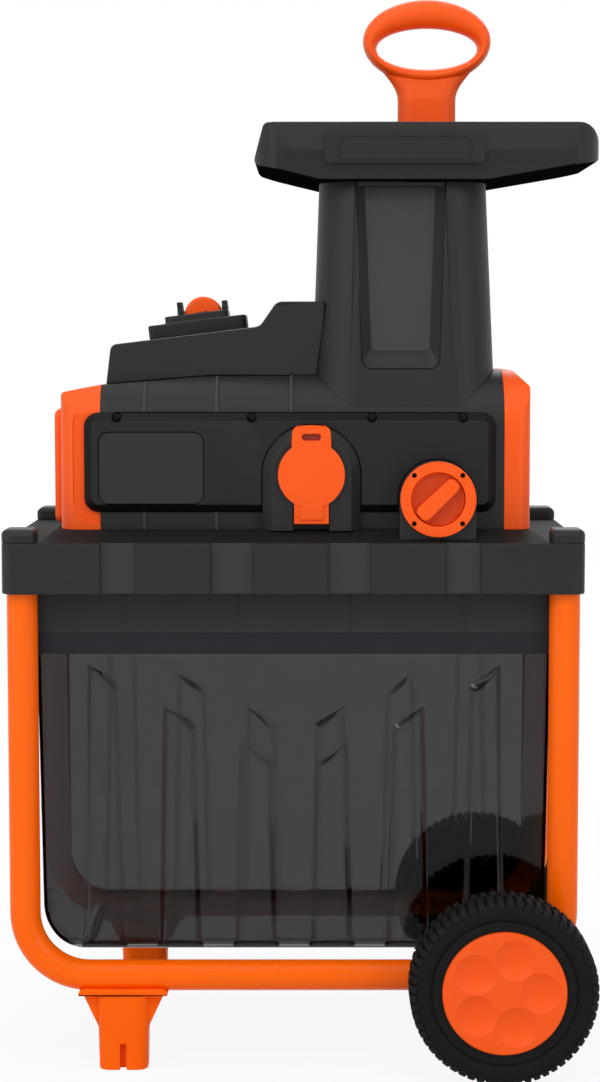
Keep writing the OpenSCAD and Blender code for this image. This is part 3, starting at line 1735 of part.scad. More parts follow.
module motor_stator() {
    x0 = motor_x + core_in;
    color(copper) on_floor()
        ring_x(0, axis_z, motor_d - 2 * can_wall - 2 * seat_clear, core_bore, x0, x0 + core_len);
}

module motor_bearings() {
    bore = motor_shaft_d + 2 * run_clear;
    color(steel) on_floor() {
        ring_x(0, axis_z, motor_bearing_d, bore, motor_x, motor_x + bell_t);
        ring_x(0, axis_z, motor_bearing_d, bore, gear_plate_x, gear_plate_x + gear_plate_t);
    }
}

module motor_rotor() {
    x0 = motor_x + core_in;
    color(steel) on_floor() {
        bar_x(0, axis_z, motor_shaft_d, motor_x - fan_t - 2 * fan_gap, stage_one + gear_w);
        bar_x(0, axis_z, core_bore - 2 * rotor_gap, x0, x0 + core_len);
    }
}

// Cooling fan: hub, back plate and straight blades
module motor_fan() {
    x1 = motor_x - fan_gap;
    color(black) on_floor() difference() {
        union() {
            bar_x(0, axis_z, fan_hub_d, x1 - fan_t, x1);
            bar_x(0, axis_z, fan_d, x1 - fan_plate, x1);
            for (i = [0 : fan_blades - 1]) translate([x1 - fan_t, 0, axis_z])
                rotate([360 * i / fan_blades, 0, 0]) translate([0, fan_hub_d / 2 - through, -fan_plate / 2])
                    cube([fan_t - fan_plate + eps, (fan_d - fan_hub_d) / 2, fan_plate]);
        }
        bar_x(0, axis_z, motor_shaft_d + 2 * run_clear, x1 - fan_t - through, x1 + through);
    }
}

// Saddles that carry the motor on the deck
module motor_cradles() {
    color(dark_grey) on_floor() difference() {
        for (x = [motor_x + cradle_in, gear_plate_x - cradle_in - cradle_w])
            translate([x, -cradle_d / 2, deck_z]) cube([cradle_w, cradle_d, cradle_h]);
        bar_x(0, axis_z, motor_d + 2 * seat_clear, motor_x, gear_plate_x);
    }
}

front_frame();
rear_frame();
axle();
axle_spacers();
axle_retainers();
front_rim();
front_tyre();
front_hub_cap();
rear_rim();
rear_tyre();
rear_hub_cap();
front_foot();
rear_foot();
base_tray();
corner_caps();
front_skirt();
rear_skirt();
front_runner();
rear_runner();
bin();
housing_front();
housing_rear();
left_end_cap();
right_end_cap();
front_panel();
cover_screws();
inlet_boss();
inlet_pins();
inlet_flap();
flap_pin();
knob_boss();
knob_ring();
adjust_knob();
adjust_screw();
anvil();
anvil_bed();
switch_cover();
switch_base();
switch_guard();
switch_rocker();
hopper_chute();
hopper_funnel();
name_plate();
pusher();
drum_plates();
drum_bearings();
drum_shaft();
cutting_drum();
drum_gear();
gear_plate();
idler_gear();
idler_shaft();
motor_can();
motor_stator();
motor_bearings();
motor_rotor();
motor_pinion();
motor_fan();
motor_cradles();
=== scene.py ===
"""Looks of an upright garden shredder: its visible pieces, their finishes, the studio and the camera.

Lengths are metres in the CAD model's frame: X runs along the machine, its front is at -Y and Z is up.
"""
import json
import logging
import math
from dataclasses import dataclass, field
from enum import Enum
from functools import cache
from typing import Callable, Iterable, Sequence

import bpy
from mathutils import Matrix, Vector


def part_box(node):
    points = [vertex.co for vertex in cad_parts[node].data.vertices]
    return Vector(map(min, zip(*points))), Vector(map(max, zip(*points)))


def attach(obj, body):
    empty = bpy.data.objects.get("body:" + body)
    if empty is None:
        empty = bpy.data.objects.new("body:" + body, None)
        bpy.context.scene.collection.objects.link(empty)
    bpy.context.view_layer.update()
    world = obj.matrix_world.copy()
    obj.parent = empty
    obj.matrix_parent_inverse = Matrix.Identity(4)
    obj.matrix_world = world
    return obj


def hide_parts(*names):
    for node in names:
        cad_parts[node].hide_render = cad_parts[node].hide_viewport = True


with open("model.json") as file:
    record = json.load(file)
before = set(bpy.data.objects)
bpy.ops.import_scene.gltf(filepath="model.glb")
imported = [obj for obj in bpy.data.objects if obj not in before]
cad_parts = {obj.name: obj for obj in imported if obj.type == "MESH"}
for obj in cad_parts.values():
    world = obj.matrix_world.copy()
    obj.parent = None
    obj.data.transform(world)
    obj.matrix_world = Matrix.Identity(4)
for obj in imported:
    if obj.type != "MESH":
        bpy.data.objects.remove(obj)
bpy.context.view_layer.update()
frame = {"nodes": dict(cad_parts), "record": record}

log = logging.getLogger("shredder")

MACHINE = "machine"
X, Y, Z = range(3)
QUARTER = math.pi / 2
# Lengths closer than this are the same
TOLERANCE = 1e-5
# Vertices closer than this become one
MERGE = TOLERANCE / 5
# Edges sharper than this are rounded, and stay sharp in the shading
CREASE = math.radians(30)
# Neighbouring faces as level as this become one
LEVEL = math.radians(0.5)
# A normal's least share along the axis that its face looks along
SQUARE_ON = 0.9
# Cutting tools reach past a piece by this much
REACH = 0.01
# Sides of the round pieces that show most
FINE = 128
BALL_SIDES = 96

Point = Sequence[float]
Span = tuple[float, float]
Colour = tuple[float, float, float]
Node = bpy.types.Node
Tree = bpy.types.NodeTree
Socket = bpy.types.NodeSocket
EdgeTest = Callable[[Vector, Vector], bool]
FaceTest = Callable[[Vector, Vector], bool]


class Pick(Enum):
    """Kind of mesh element that a selection takes."""

    VERT = "VERT"
    EDGE = "EDGE"
    FACE = "FACE"


class End(Enum):
    """Front or rear one of two alike pieces."""

    FRONT = "front"
    REAR = "rear"

    @property
    def outward(self) -> float:
        """Direction along Y that leads away from the machine."""
        return -1.0 if self is End.FRONT else 1.0


class Axis(Enum):
    """Direction of a rod, as the turn that an upright cylinder needs."""

    X = (0.0, QUARTER, 0.0)
    Y = (QUARTER, 0.0, 0.0)
    Z = (0.0, 0.0, 0.0)


class Cut(Enum):
    """How a tool acts on a blank."""

    TAKE_AWAY = "DIFFERENCE"
    ADD = "UNION"
    KEEP = "INTERSECT"


def close(a: float, b: float) -> bool:
    """Tell whether two lengths are the same."""
    return abs(a - b) < TOLERANCE


def runs(axis: int) -> EdgeTest:
    """Return a test for edges that run along an axis."""
    return lambda a, b: all(close(a[i], b[i]) for i in range(3) if i != axis)


def lies(axis: int, place: float) -> EdgeTest:
    """Return a test for edges that lie at a place on an axis."""
    return lambda a, b: close(a[axis], place) and close(b[axis], place)


def both(*tests: EdgeTest) -> EdgeTest:
    """Return a test for edges that pass every one of some tests."""
    return lambda a, b: all(test(a, b) for test in tests)


def looks(axis: int, way: int) -> FaceTest:
    """Return a test for faces that look squarely along an axis, forwards (1) or backwards (-1)."""
    return lambda centre, normal: way * normal[axis] > SQUARE_ON


@cache
def node_box(node: str) -> tuple[Vector, Vector]:
    """Return a CAD node's lowest and highest corners, kept for tests that ask at every face."""
    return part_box(node)


def span(node: str) -> tuple[Vector, Vector, Vector]:
    """Return a CAD node's lowest corner, middle and highest corner."""
    low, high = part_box(node)
    return low, (low + high) / 2, high


class Blank:
    """A piece on the bench: a primitive that is shaped in edit mode and finished with modifiers."""

    def __init__(self, obj: bpy.types.Object) -> None:
        """Take an object onto the bench."""
        self.obj = obj

    @staticmethod
    def clear() -> None:
        """Leave edit mode and deselect everything."""
        active = bpy.context.view_layer.objects.active
        if active is not None and active.mode != "OBJECT":
            bpy.ops.object.mode_set(mode="OBJECT")
        bpy.ops.object.select_all(action="DESELECT")

    @classmethod
    def _add(cls, name: str, primitive: Callable, scale: Point = (1.0, 1.0, 1.0), **how: object) -> "Blank":
        """Add a primitive and put its place and size into its mesh.

        Args:
            name: Name of the piece.
            primitive: Blender's operator that adds the primitive.
            scale: Size of the primitive along its own axes.
            how: Settings of the operator.

        Returns:
            The primitive on the bench.
        """
        cls.clear()
        primitive(**how)
        obj = bpy.context.object
        obj.name = name
        obj.data.name = name
        obj.scale = scale
        bpy.ops.object.transform_apply(location=True, rotation=True, scale=True)
        return cls(obj)

    @classmethod
    def box(cls, name: str, low: Point, high: Point) -> "Blank":
        """Add a box between two corners."""
        low, high = Vector(low), Vector(high)
        return cls._add(name, bpy.ops.mesh.primitive_cube_add, high - low, size=1.0,
                        location=(low + high) / 2)

    @classmethod
    def bar(cls, name: str, x: float, half: float, y: Span, z: Span) -> "Blank":
        """Add a box that reaches as far to both sides of a place in X, over a span in Y and one in Z."""
        return cls.box(name, (x - half, y[0], z[0]), (x + half, y[1], z[1]))

    @classmethod
    def rod(cls, name: str, centre: Point, radius: float, length: float, axis: Axis, sides: int) -> "Blank":
        """Add a round bar about its centre."""
        return cls._add(name, bpy.ops.mesh.primitive_cylinder_add, vertices=sides, radius=radius,
                        depth=length, location=centre, rotation=axis.value)

    @classmethod
    def ball(cls, name: str, centre: Point, radius: float) -> "Blank":
        """Add a fine ball about its centre."""
        return cls._add(name, bpy.ops.mesh.primitive_uv_sphere_add, segments=BALL_SIDES,
                        ring_count=BALL_SIDES // 2, radius=radius, location=centre)

    @classmethod
    def sheet(cls, name: str, centre: Point, width: float, height: float) -> "Blank":
        """Add an upright sheet in the plane of Y and Z."""
        return cls._add(name, bpy.ops.mesh.primitive_plane_add, (height, width, 1.0), size=1.0,
                        location=centre, rotation=Axis.X.value)

    @classmethod
    def hoop(cls, name: str, centre: Point, radius: float, axis: Axis, sides: int) -> "Blank":
        """Add a flat ring of edges about an axis."""
        return cls._add(name, bpy.ops.mesh.primitive_circle_add, vertices=sides, radius=radius,
                        location=centre, rotation=axis.value)

    @classmethod
    def swept(cls, name: str, rings: Sequence[tuple[Vector, float, float]], sides: int) -> "Blank":
        """Sweep an upright oval through a closed row of places and sizes.

        Args:
            name: Name of the piece.
            rings: Centre, half width and half height of each oval, in order.
            sides: Number of corners of an oval.

        Returns:
            The closed skin on the bench.
        """
        blank = cls.hoop(name, (0, 0, 0), 1.0, Axis.Y, sides).every(Pick.EDGE)
        start, wide, tall = rings[0]
        blank.stretch((wide, 1, tall), (0, 0, 0))
        bpy.ops.transform.translate(value=start)
        for here, there in zip(rings, [*rings[1:], rings[0]]):
            blank.extrude(there[0] - here[0])
            blank.stretch((there[1] / here[1], 1, there[2] / here[2]), there[0])
        return blank.done().weld()

    @classmethod
    def drawn(cls, name: str, outline: Iterable[Point], throw: Point) -> "Blank":
        """Draw an outline corner by corner, fill it and extrude it.

        Args:
            name: Name of the piece.
            outline: Corners of the outline, in order.
            throw: How far and which way the outline is extruded.

        Returns:
            The prism on the bench.
        """
        corners = [Vector(p) for p in outline]
        blank = cls._add(name, bpy.ops.mesh.primitive_plane_add, size=TOLERANCE, location=corners[0])
        blank.every(Pick.VERT)
        bpy.ops.mesh.merge(type="CENTER")
        for here, there in zip(corners, corners[1:]):
            bpy.ops.mesh.extrude_vertices_move(TRANSFORM_OT_translate={"value": there - here})
        bpy.ops.mesh.select_all(action="SELECT")
        bpy.ops.mesh.edge_face_add()
        bpy.ops.mesh.select_all(action="SELECT")
        return blank.extrude(throw).weld()

    @classmethod
    def cast(cls, name: str, node: str) -> "Blank":
        """Take a merged copy of a CAD node's skin, with its flat faces made whole.

        Args:
            name: Name of the piece.
            node: The CAD node.

        Returns:
            The copy on the bench.
        """
        cls.clear()
        obj = bpy.data.objects.new(name, frame["nodes"][node].data.copy())
        bpy.context.scene.collection.objects.link(obj)
        blank = cls(obj)
        blank.every(Pick.VERT)
        bpy.ops.mesh.remove_doubles(threshold=MERGE)
        bpy.ops.mesh.dissolve_limited(angle_limit=LEVEL)
        while len(obj.data.materials) > 1:
            obj.data.materials.pop()
        return blank.done()

    def hold(self) -> "Blank":
        """Make this the only selected object."""
        self.clear()
        bpy.context.view_layer.objects.active = self.obj
        self.obj.select_set(True)
        return self

    def done(self) -> "Blank":
        """Go back to object mode."""
        bpy.ops.object.mode_set(mode="OBJECT")
        return self

    def every(self, kind: Pick) -> "Blank":
        """Select all elements of a kind and stay in edit mode."""
        self.hold()
        bpy.ops.object.mode_set(mode="EDIT")
        bpy.ops.mesh.select_mode(type=kind.value)
        bpy.ops.mesh.select_all(action="SELECT")
        return self

    def _none(self, kind: Pick) -> bpy.types.Mesh:
        """Deselect all elements, set the kind and return the mesh in object mode."""
        self.every(kind)
        bpy.ops.mesh.select_all(action="DESELECT")
        self.done()
        return self.obj.data

    def edges(self, test: EdgeTest) -> "Blank":
        """Select the edges whose two ends pass a test and stay in edit mode."""
        mesh = self._none(Pick.EDGE)
        spots = [vert.co for vert in mesh.vertices]
        for edge in mesh.edges:
            edge.select = test(spots[edge.vertices[0]], spots[edge.vertices[1]])
        bpy.ops.object.mode_set(mode="EDIT")
        return self

    def faces(self, test: FaceTest) -> "Blank":
        """Select the faces whose middle and normal pass a test and stay in edit mode."""
        mesh = self._none(Pick.FACE)
        for face in mesh.polygons:
            face.select = test(face.center, face.normal)
        bpy.ops.object.mode_set(mode="EDIT")
        return self

    def bevel(self, width: float, segments: int) -> "Blank":
        """Bevel the selected edges."""
        bpy.ops.mesh.bevel(offset=width, segments=segments, affect="EDGES", clamp_overlap=False)
        return self.done()

    def stretch(self, factors: Point, about: Point) -> "Blank":
        """Resize the selection about a point and stay in edit mode."""
        bpy.ops.transform.resize(value=factors, center_override=about)
        return self

    def extrude(self, way: Point) -> "Blank":
        """Extrude the selection and stay in edit mode with its new end."""
        bpy.ops.mesh.extrude_region_move(TRANSFORM_OT_translate={"value": Vector(way)})
        return self

    def spin(self, angle: float, steps: int, centre: Point) -> "Blank":
        """Sweep the selection about an axis along Y and stay in edit mode with its new end."""
        bpy.ops.mesh.spin(steps=steps, angle=angle, center=centre, axis=(0, 1, 0))
        return self

    def halve(self, point: Point, normal: Point) -> "Blank":
        """Cut away what lies on the normal's side of a plane and close the cut."""
        self.every(Pick.VERT)
        bpy.ops.mesh.bisect(plane_co=point, plane_no=normal, use_fill=True, clear_outer=True)
        return self.done()

    def split(self, test: FaceTest) -> "Blank":
        """Cut the faces that pass a test into triangles, so that rounding can't fold them."""
        self.faces(test)
        bpy.ops.mesh.quads_convert_to_tris(quad_method="BEAUTY", ngon_method="CLIP")
        return self.done()

    def weld(self) -> "Blank":
        """Merge doubled vertices and turn all faces outwards."""
        self.every(Pick.VERT)
        bpy.ops.mesh.remove_doubles(threshold=MERGE)
        bpy.ops.mesh.normals_make_consistent(inside=False)
        return self.done()

    def modify(self, kind: str, **settings: object) -> "Blank":
        """Apply a modifier.

        Args:
            kind: Blender's name of the modifier type.
            settings: Settings of the modifier.

        Returns:
            This blank.
        """
        self.hold()
        step = self.obj.modifiers.new(kind, kind)
        for name, value in settings.items():
            setattr(step, name, value)
        bpy.ops.object.modifier_apply(modifier=step.name)
        return self

    def shape(self, tool: "Blank", how: Cut) -> "Blank":
        """Cut, join or intersect this blank with a tool, and scrap the tool."""
        self.modify("BOOLEAN", operation=how.value, solver="EXACT", object=tool.obj)
        tool.scrap()
        return self

    def cut(self, *tools: "Blank") -> "Blank":
        """Take tools away from this blank."""
        for tool in tools:
            self.shape(tool, Cut.TAKE_AWAY)
        return self

    def add(self, *tools: "Blank") -> "Blank":
        """Grow tools onto this blank."""
        for tool in tools:
            self.shape(tool, Cut.ADD)
        return self

    def gather(self, others: Iterable["Blank"]) -> "Blank":
        """Join other blanks to this one as loose shells."""
        self.hold()
        for other in others:
            other.obj.select_set(True)
        bpy.ops.object.join()
        return self

    def copy(self, placing: Matrix) -> "Blank":
        """Copy this blank with its own mesh and put the copy in its place."""
        twin = self.obj.copy()
        twin.data = self.obj.data.copy()
        bpy.context.scene.collection.objects.link(twin)
        return Blank(twin).turn(placing)

    def scrap(self) -> None:
        """Throw this blank away."""
        bpy.data.objects.remove(self.obj, do_unlink=True)

    def turn(self, placing: Matrix) -> "Blank":
        """Carry this blank's mesh by a matrix."""
        self.obj.data.transform(placing)
        return self

    def soften(self, width: float, segments: int = 2) -> "Blank":
        """Round all sharp edges."""
        return self.modify("BEVEL", width=width, segments=segments, limit_method="ANGLE", angle_limit=CREASE,
                           use_clamp_overlap=False)

    def smooth(self, angle: float = CREASE) -> "Blank":
        """Shade soft across all edges but those sharper than an angle."""
        self.hold()
        bpy.ops.object.shade_smooth_by_angle(angle=angle)
        return self.modify("WEIGHTED_NORMAL", keep_sharp=True)

    def paint(self, finish: "Finish", test: FaceTest) -> "Blank":
        """Give some faces another finish, and leave the first slot to the piece's main one.

        Args:
            finish: The other finish.
            test: Test on a face's middle and normal.

        Returns:
            This blank.
        """
        mesh = self.obj.data
        if not mesh.materials:
            mesh.materials.append(None)
        mesh.materials.append(finish.material())
        for face in mesh.polygons:
            if test(face.center, face.normal):
                face.material_index = len(mesh.materials) - 1
        return self


class Wiring:
    """Nodes and links of one shader tree."""

    def __init__(self, tree: Tree) -> None:
        """Take a tree to wire."""
        self.tree = tree

    def feed(self, value: object, socket: Socket) -> None:
        """Link an output to a socket, or set the socket's own value."""
        if isinstance(value, Socket):
            self.tree.links.new(value, socket)
        else:
            socket.default_value = value

    def fill(self, node: Node, **inputs: object) -> Node:
        """Set or link a node's inputs.

        Args:
            node: The node.
            inputs: Values or output sockets, by input name with underscores for spaces.

        Returns:
            The node.
        """
        for name, value in inputs.items():
            self.feed(value, node.inputs[name.replace("_", " ")])
        return node

    def node(self, kind: str, **inputs: object) -> Node:
        """Add a node of a type and set or link its inputs."""
        return self.fill(self.tree.nodes.new(kind), **inputs)

    def maths(self, operation: str, *values: object) -> Socket:
        """Return the result of a sum on two values or sockets."""
        node = self.node("ShaderNodeMath")
        node.operation = operation
        for value, socket in zip(values, node.inputs):
            self.feed(value, socket)
        return node.outputs[0]

    def mix(self, factor: object, a: object, b: object, blend: str = "MIX") -> Socket:
        """Return the mix of two colours.

        Args:
            factor: Share of the second colour.
            a: First colour.
            b: Second colour.
            blend: Blender's name of the way of mixing.

        Returns:
            The mixed colour.
        """
        node = self.node("ShaderNodeMix")
        node.data_type = "RGBA"
        node.blend_type = blend
        for name, value in (("Factor_Float", factor), ("A_Color", a), ("B_Color", b)):
            self.feed(value, next(s for s in node.inputs if s.identifier == name))
        return next(s for s in node.outputs if s.identifier == "Result_Color")

    def noise(self, scale: object, detail: float = 2.0, stretch: Point = (1, 1, 1)) -> Socket:
        """Return a noise value on Object coordinates.

        Args:
            scale: Fineness of the noise.
            detail: Depth of its detail.
            stretch: How much finer it is along each axis.

        Returns:
            The noise, from 0 to 1.
        """
        place = self.node("ShaderNodeTexCoord").outputs["Object"]
        place = self.node("ShaderNodeMapping", Vector=place, Scale=stretch).outputs["Vector"]
        return self.node("ShaderNodeTexNoise", Vector=place, Scale=scale, Detail=detail).outputs["Fac"]

    def swing(self, noise: object, spread: object, base: object) -> Socket:
        """Return a base value that a noise swings up and down by a spread."""
        off = self.maths("SUBTRACT", noise, 0.5)
        return self.maths("ADD", self.maths("MULTIPLY", off, spread), base)

    def bump(self, height: object, strength: float, deep: float) -> Socket:
        """Return a normal that is bent by a height."""
        return self.node("ShaderNodeBump", Height=height, Strength=strength, Distance=deep).outputs["Normal"]


class Effect(Enum):
    """Surface effects that more than one finish uses, each a shader node group."""

    GRAIN = "moulded_grain"
    EDGES = "worn_edges"
    MOTTLE = "soft_mottle"
    LINES = "drawn_lines"

    def group(self) -> Tree:
        """Return this effect's node group, built on first use."""
        tree = bpy.data.node_groups.get(self.value)
        if tree is None:
            tree = bpy.data.node_groups.new(self.value, "ShaderNodeTree")
            {Effect.GRAIN: _wire_grain, Effect.EDGES: _wire_edges,
             Effect.MOTTLE: _wire_mottle, Effect.LINES: _wire_lines}[self](tree)
        return tree

    def place(self, wiring: Wiring, **inputs: object) -> Node:
        """Place this effect in a material with its own values."""
        node = wiring.node("ShaderNodeGroup")
        node.node_tree = self.group()
        return wiring.fill(node, **inputs)


FLOAT = "NodeSocketFloat"
COLOUR = "NodeSocketColor"


def _sockets(tree: Tree, inputs: dict[str, str], outputs: dict[str, str]) -> tuple:
    """Make a group's sockets.

    Args:
        tree: The node group.
        inputs: Socket types by input name.
        outputs: Socket types by output name.

    Returns:
        The group's wiring, input node and output node.
    """
    for way, sockets in (("INPUT", inputs), ("OUTPUT", outputs)):
        for name, kind in sockets.items():
            tree.interface.new_socket(name=name, in_out=way, socket_type=kind)
    return Wiring(tree), tree.nodes.new("NodeGroupInput"), tree.nodes.new("NodeGroupOutput")


def _wire_grain(tree: Tree) -> None:
    """Wire the fine grain of a moulded skin: a bump height and a roughness that wanders."""
    wiring, start, end = _sockets(tree, {"Scale": FLOAT, "Rough": FLOAT, "Spread": FLOAT},
                                  {"Height": FLOAT, "Roughness": FLOAT})
    cloud = wiring.noise(scale=22.0, detail=4.0)
    wiring.fill(end, Height=wiring.noise(start.outputs["Scale"]),
                Roughness=wiring.swing(cloud, start.outputs["Spread"], start.outputs["Rough"]))


def _wire_edges(tree: Tree) -> None:
    """Wire a broken mask along sharp edges: the paler edges that hands and twigs rub, and a painted highlight
    along them.
    """
    wiring, start, end = _sockets(tree, {"Amount": FLOAT}, {"Mask": FLOAT})
    point = wiring.node("ShaderNodeNewGeometry").outputs["Pointiness"]
    ridge = wiring.node("ShaderNodeMapRange", Value=point, From_Min=0.52, From_Max=0.62).outputs["Result"]
    broken = wiring.maths("MULTIPLY", ridge, wiring.noise(scale=70.0, detail=4.0))
    wiring.fill(end, Mask=wiring.maths("MULTIPLY", broken, start.outputs["Amount"]))


def _wire_mottle(tree: Tree) -> None:
    """Wire a slow drift of a colour's depth over the surface."""
    wiring, start, end = _sockets(tree, {"Colour": COLOUR, "Spread": FLOAT}, {"Colour": COLOUR})
    depth = wiring.swing(wiring.noise(scale=9.0, detail=3.0), start.outputs["Spread"], 1.0)
    shade = wiring.node("ShaderNodeCombineColor", Red=depth, Green=depth, Blue=depth).outputs["Color"]
    wiring.fill(end, Colour=wiring.mix(1.0, start.outputs["Colour"], shade, "MULTIPLY"))


def _wire_lines(tree: Tree) -> None:
    """Wire the fine lines that drawing or turning leaves on metal."""
    wiring, start, end = _sockets(tree, {"Rough": FLOAT, "Spread": FLOAT},
                                  {"Height": FLOAT, "Roughness": FLOAT})
    lines = wiring.noise(scale=90.0, detail=3.0, stretch=(14, 1, 1))
    wiring.fill(end, Height=lines,
                Roughness=wiring.swing(lines, start.outputs["Spread"], start.outputs["Rough"]))


def mottled(wiring: Wiring, colour: Colour, spread: float) -> Socket:
    """Return a colour whose depth drifts by a spread."""
    return Effect.MOTTLE.place(wiring, Colour=(*colour, 1.0), Spread=spread).outputs["Colour"]


@dataclass(frozen=True)
class Moulded:
    """Plastic, rubber or paint: a coloured skin with grain, mottle and paler edges that are partly wear and
    partly a painted highlight.
    """

    slot: str
    colour: Colour
    edge: Colour
    rough: float
    spread: float = 0.12
    grain: float = 700.0
    bump: float = 0.10
    bump_deep: float = 0.0004
    wear_and_highlight: float = 0.25
    mottle: float = 0.10
    gloss: float = 0.2
    coat: float = 0.0
    coat_rough: float = 0.08

    def wire(self, wiring: Wiring, shader: Node) -> None:
        """Wire this finish into a material's shader."""
        body = mottled(wiring, self.colour, self.mottle)
        # Sharp edges turn paler: partly wear, partly a painted highlight.
        wear_and_highlight_mask = Effect.EDGES.place(wiring, Amount=self.wear_and_highlight).outputs["Mask"]
        grain = Effect.GRAIN.place(wiring, Scale=self.grain, Rough=self.rough, Spread=self.spread)
        wiring.fill(shader, Base_Color=wiring.mix(wear_and_highlight_mask, body, (*self.edge, 1.0)),
                    Roughness=grain.outputs["Roughness"],
                    Normal=wiring.bump(grain.outputs["Height"], self.bump, self.bump_deep),
                    Specular_IOR_Level=self.gloss, Coat_Weight=self.coat, Coat_Roughness=self.coat_rough)


@dataclass(frozen=True)
class Clear:
    """Smoked see-through plastic."""

    slot: str
    colour: Colour
    rough: float
    spread: float = 0.04
    grain: float = 60.0
    mottle: float = 0.06
    ior: float = 1.25

    def wire(self, wiring: Wiring, shader: Node) -> None:
        """Wire this finish into a material's shader."""
        grain = Effect.GRAIN.place(wiring, Scale=self.grain, Rough=self.rough, Spread=self.spread)
        wiring.fill(shader, Base_Color=mottled(wiring, self.colour, self.mottle),
                    Roughness=grain.outputs["Roughness"], Transmission_Weight=1.0, IOR=self.ior)


@dataclass(frozen=True)
class Metal:
    """Bare metal with drawing lines."""

    slot: str
    colour: Colour
    rough: float
    spread: float = 0.25
    bump: float = 0.05
    bump_deep: float = 0.0003
    mottle: float = 0.25

    def wire(self, wiring: Wiring, shader: Node) -> None:
        """Wire this finish into a material's shader."""
        lines = Effect.LINES.place(wiring, Rough=self.rough, Spread=self.spread)
        wiring.fill(shader, Base_Color=mottled(wiring, self.colour, self.mottle),
                    Roughness=lines.outputs["Roughness"], Metallic=1.0,
                    Normal=wiring.bump(lines.outputs["Height"], self.bump, self.bump_deep))


def grey(level: float) -> Colour:
    """Return a plain grey."""
    return (level, level, level)


class Finish(Enum):
    """Finishes of the machine's pieces."""

    ORANGE_PLASTIC = Moulded("orange_plastic", (0.93, 0.098, 0.006), (0.95, 0.22, 0.06), 0.42, mottle=0.05)
    # Painted shade: a darker orange for the dial's sunk face
    SUNK_SHADE_ORANGE = Moulded("orange_plastic", (0.56, 0.052, 0.006), (0.70, 0.12, 0.03), 0.48, mottle=0.05)
    # Painted shade: a dark orange for the floor of the inlet flap's finger slot
    SLOT_SHADE_ORANGE = Moulded("orange_plastic", (0.24, 0.026, 0.008), (0.30, 0.04, 0.01), 0.55, mottle=0.05)
    FOOT_ORANGE = Moulded("orange_plastic", (1.0, 0.128, 0.001), (1.0, 0.26, 0.06), 0.34, bump=0.05,
                          gloss=0.08, mottle=0.05)
    ORANGE_PAINT = Moulded("orange_paint", (1.0, 0.132, 0.0005), (1.0, 0.27, 0.06), 0.17, bump=0.02,
                           gloss=0.05, mottle=0.05, coat=0.14)
    BLACK_PLASTIC = Moulded("black_plastic", (0.0165, 0.0165, 0.0167), grey(0.06), 0.45)
    PANEL_BLACK = Moulded("black_plastic", (0.011, 0.011, 0.0112), grey(0.05), 0.48)
    # Painted shade: a darker black for the front panel's sloping rim and the wheels' rims
    RIM_SHADE_BLACK = Moulded("black_plastic", (0.005, 0.005, 0.0051), grey(0.03), 0.50, gloss=0.10)
    # Painted shade: a near black with no gloss for faces that look down
    UNDERSIDE_SHADE_BLACK = Moulded("black_plastic", (0.0035, 0.0035, 0.0036), grey(0.02), 0.60, gloss=0.0)
    # Painted light: a paler black for the housing's ribs and the floor of the chute's channel
    PAINTED_LIGHT_BLACK = Moulded("black_plastic", (0.040, 0.040, 0.0405), grey(0.07), 0.55)
    # Painted shade: a darker, less glossy black for the tray's upward faces
    DECK_SHADE_BLACK = Moulded("black_plastic", (0.014, 0.0138, 0.0138), grey(0.05), 0.60, gloss=0.04)
    TRAY_BLACK = Moulded("black_plastic", (0.031, 0.031, 0.0315), grey(0.07), 0.52)
    DARK_PLASTIC = Moulded("dark_plastic", (0.024, 0.024, 0.0245), grey(0.07), 0.50)
    BAND_PLASTIC = Moulded("band_plastic", (0.009, 0.0095, 0.0145), (0.05, 0.05, 0.06), 0.40)
    TYRE = Moulded("tyre", grey(0.0065), grey(0.025), 0.75, grain=420.0, bump=0.25, wear_and_highlight=0.4, gloss=0.12)
    SMOKED_CLEAR = Clear("smoked_clear", (0.215, 0.213, 0.217), 0.03)
    # Painted shade: a darker tint for the sloping sides and tops of the bin's flutes
    SMOKED_FLUTE_SHADE = Clear("smoked_clear", (0.16, 0.158, 0.162), 0.05)
    BLACKED_STEEL = Metal("steel", (0.016, 0.016, 0.0165), 0.50)
    STEEL = Metal("steel", (0.56, 0.57, 0.58), 0.32)
    TOOL_STEEL = Metal("tool_steel", (0.40, 0.40, 0.41), 0.38)
    COPPER = Metal("copper", (0.72, 0.36, 0.17), 0.35)

    def material(self) -> bpy.types.Material:
        """Return this finish's material, built on first use."""
        name = "finish_" + self.name.lower()
        made = bpy.data.materials.get(name)
        if made is None:
            made = bpy.data.materials.new(name)
            made.use_nodes = True
            self.value.wire(Wiring(made.node_tree), made.node_tree.nodes["Principled BSDF"])
        return made


def deliver(blank: Blank, finish: Finish, body: str, node: str) -> None:
    """Dress a finished piece, tie it to its body and report it.

    Args:
        blank: The finished piece.
        finish: Its finish.
        body: The CAD body that it moves with.
        node: The CAD node that it stands for.
    """
    piece = blank.obj
    if piece.data.materials:
        piece.data.materials[0] = finish.material()
    else:
        piece.data.materials.append(finish.material())
    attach(piece, body)
    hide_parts(node)
    log.info("%s: %d faces on %s", piece.name, len(piece.data.polygons), body)


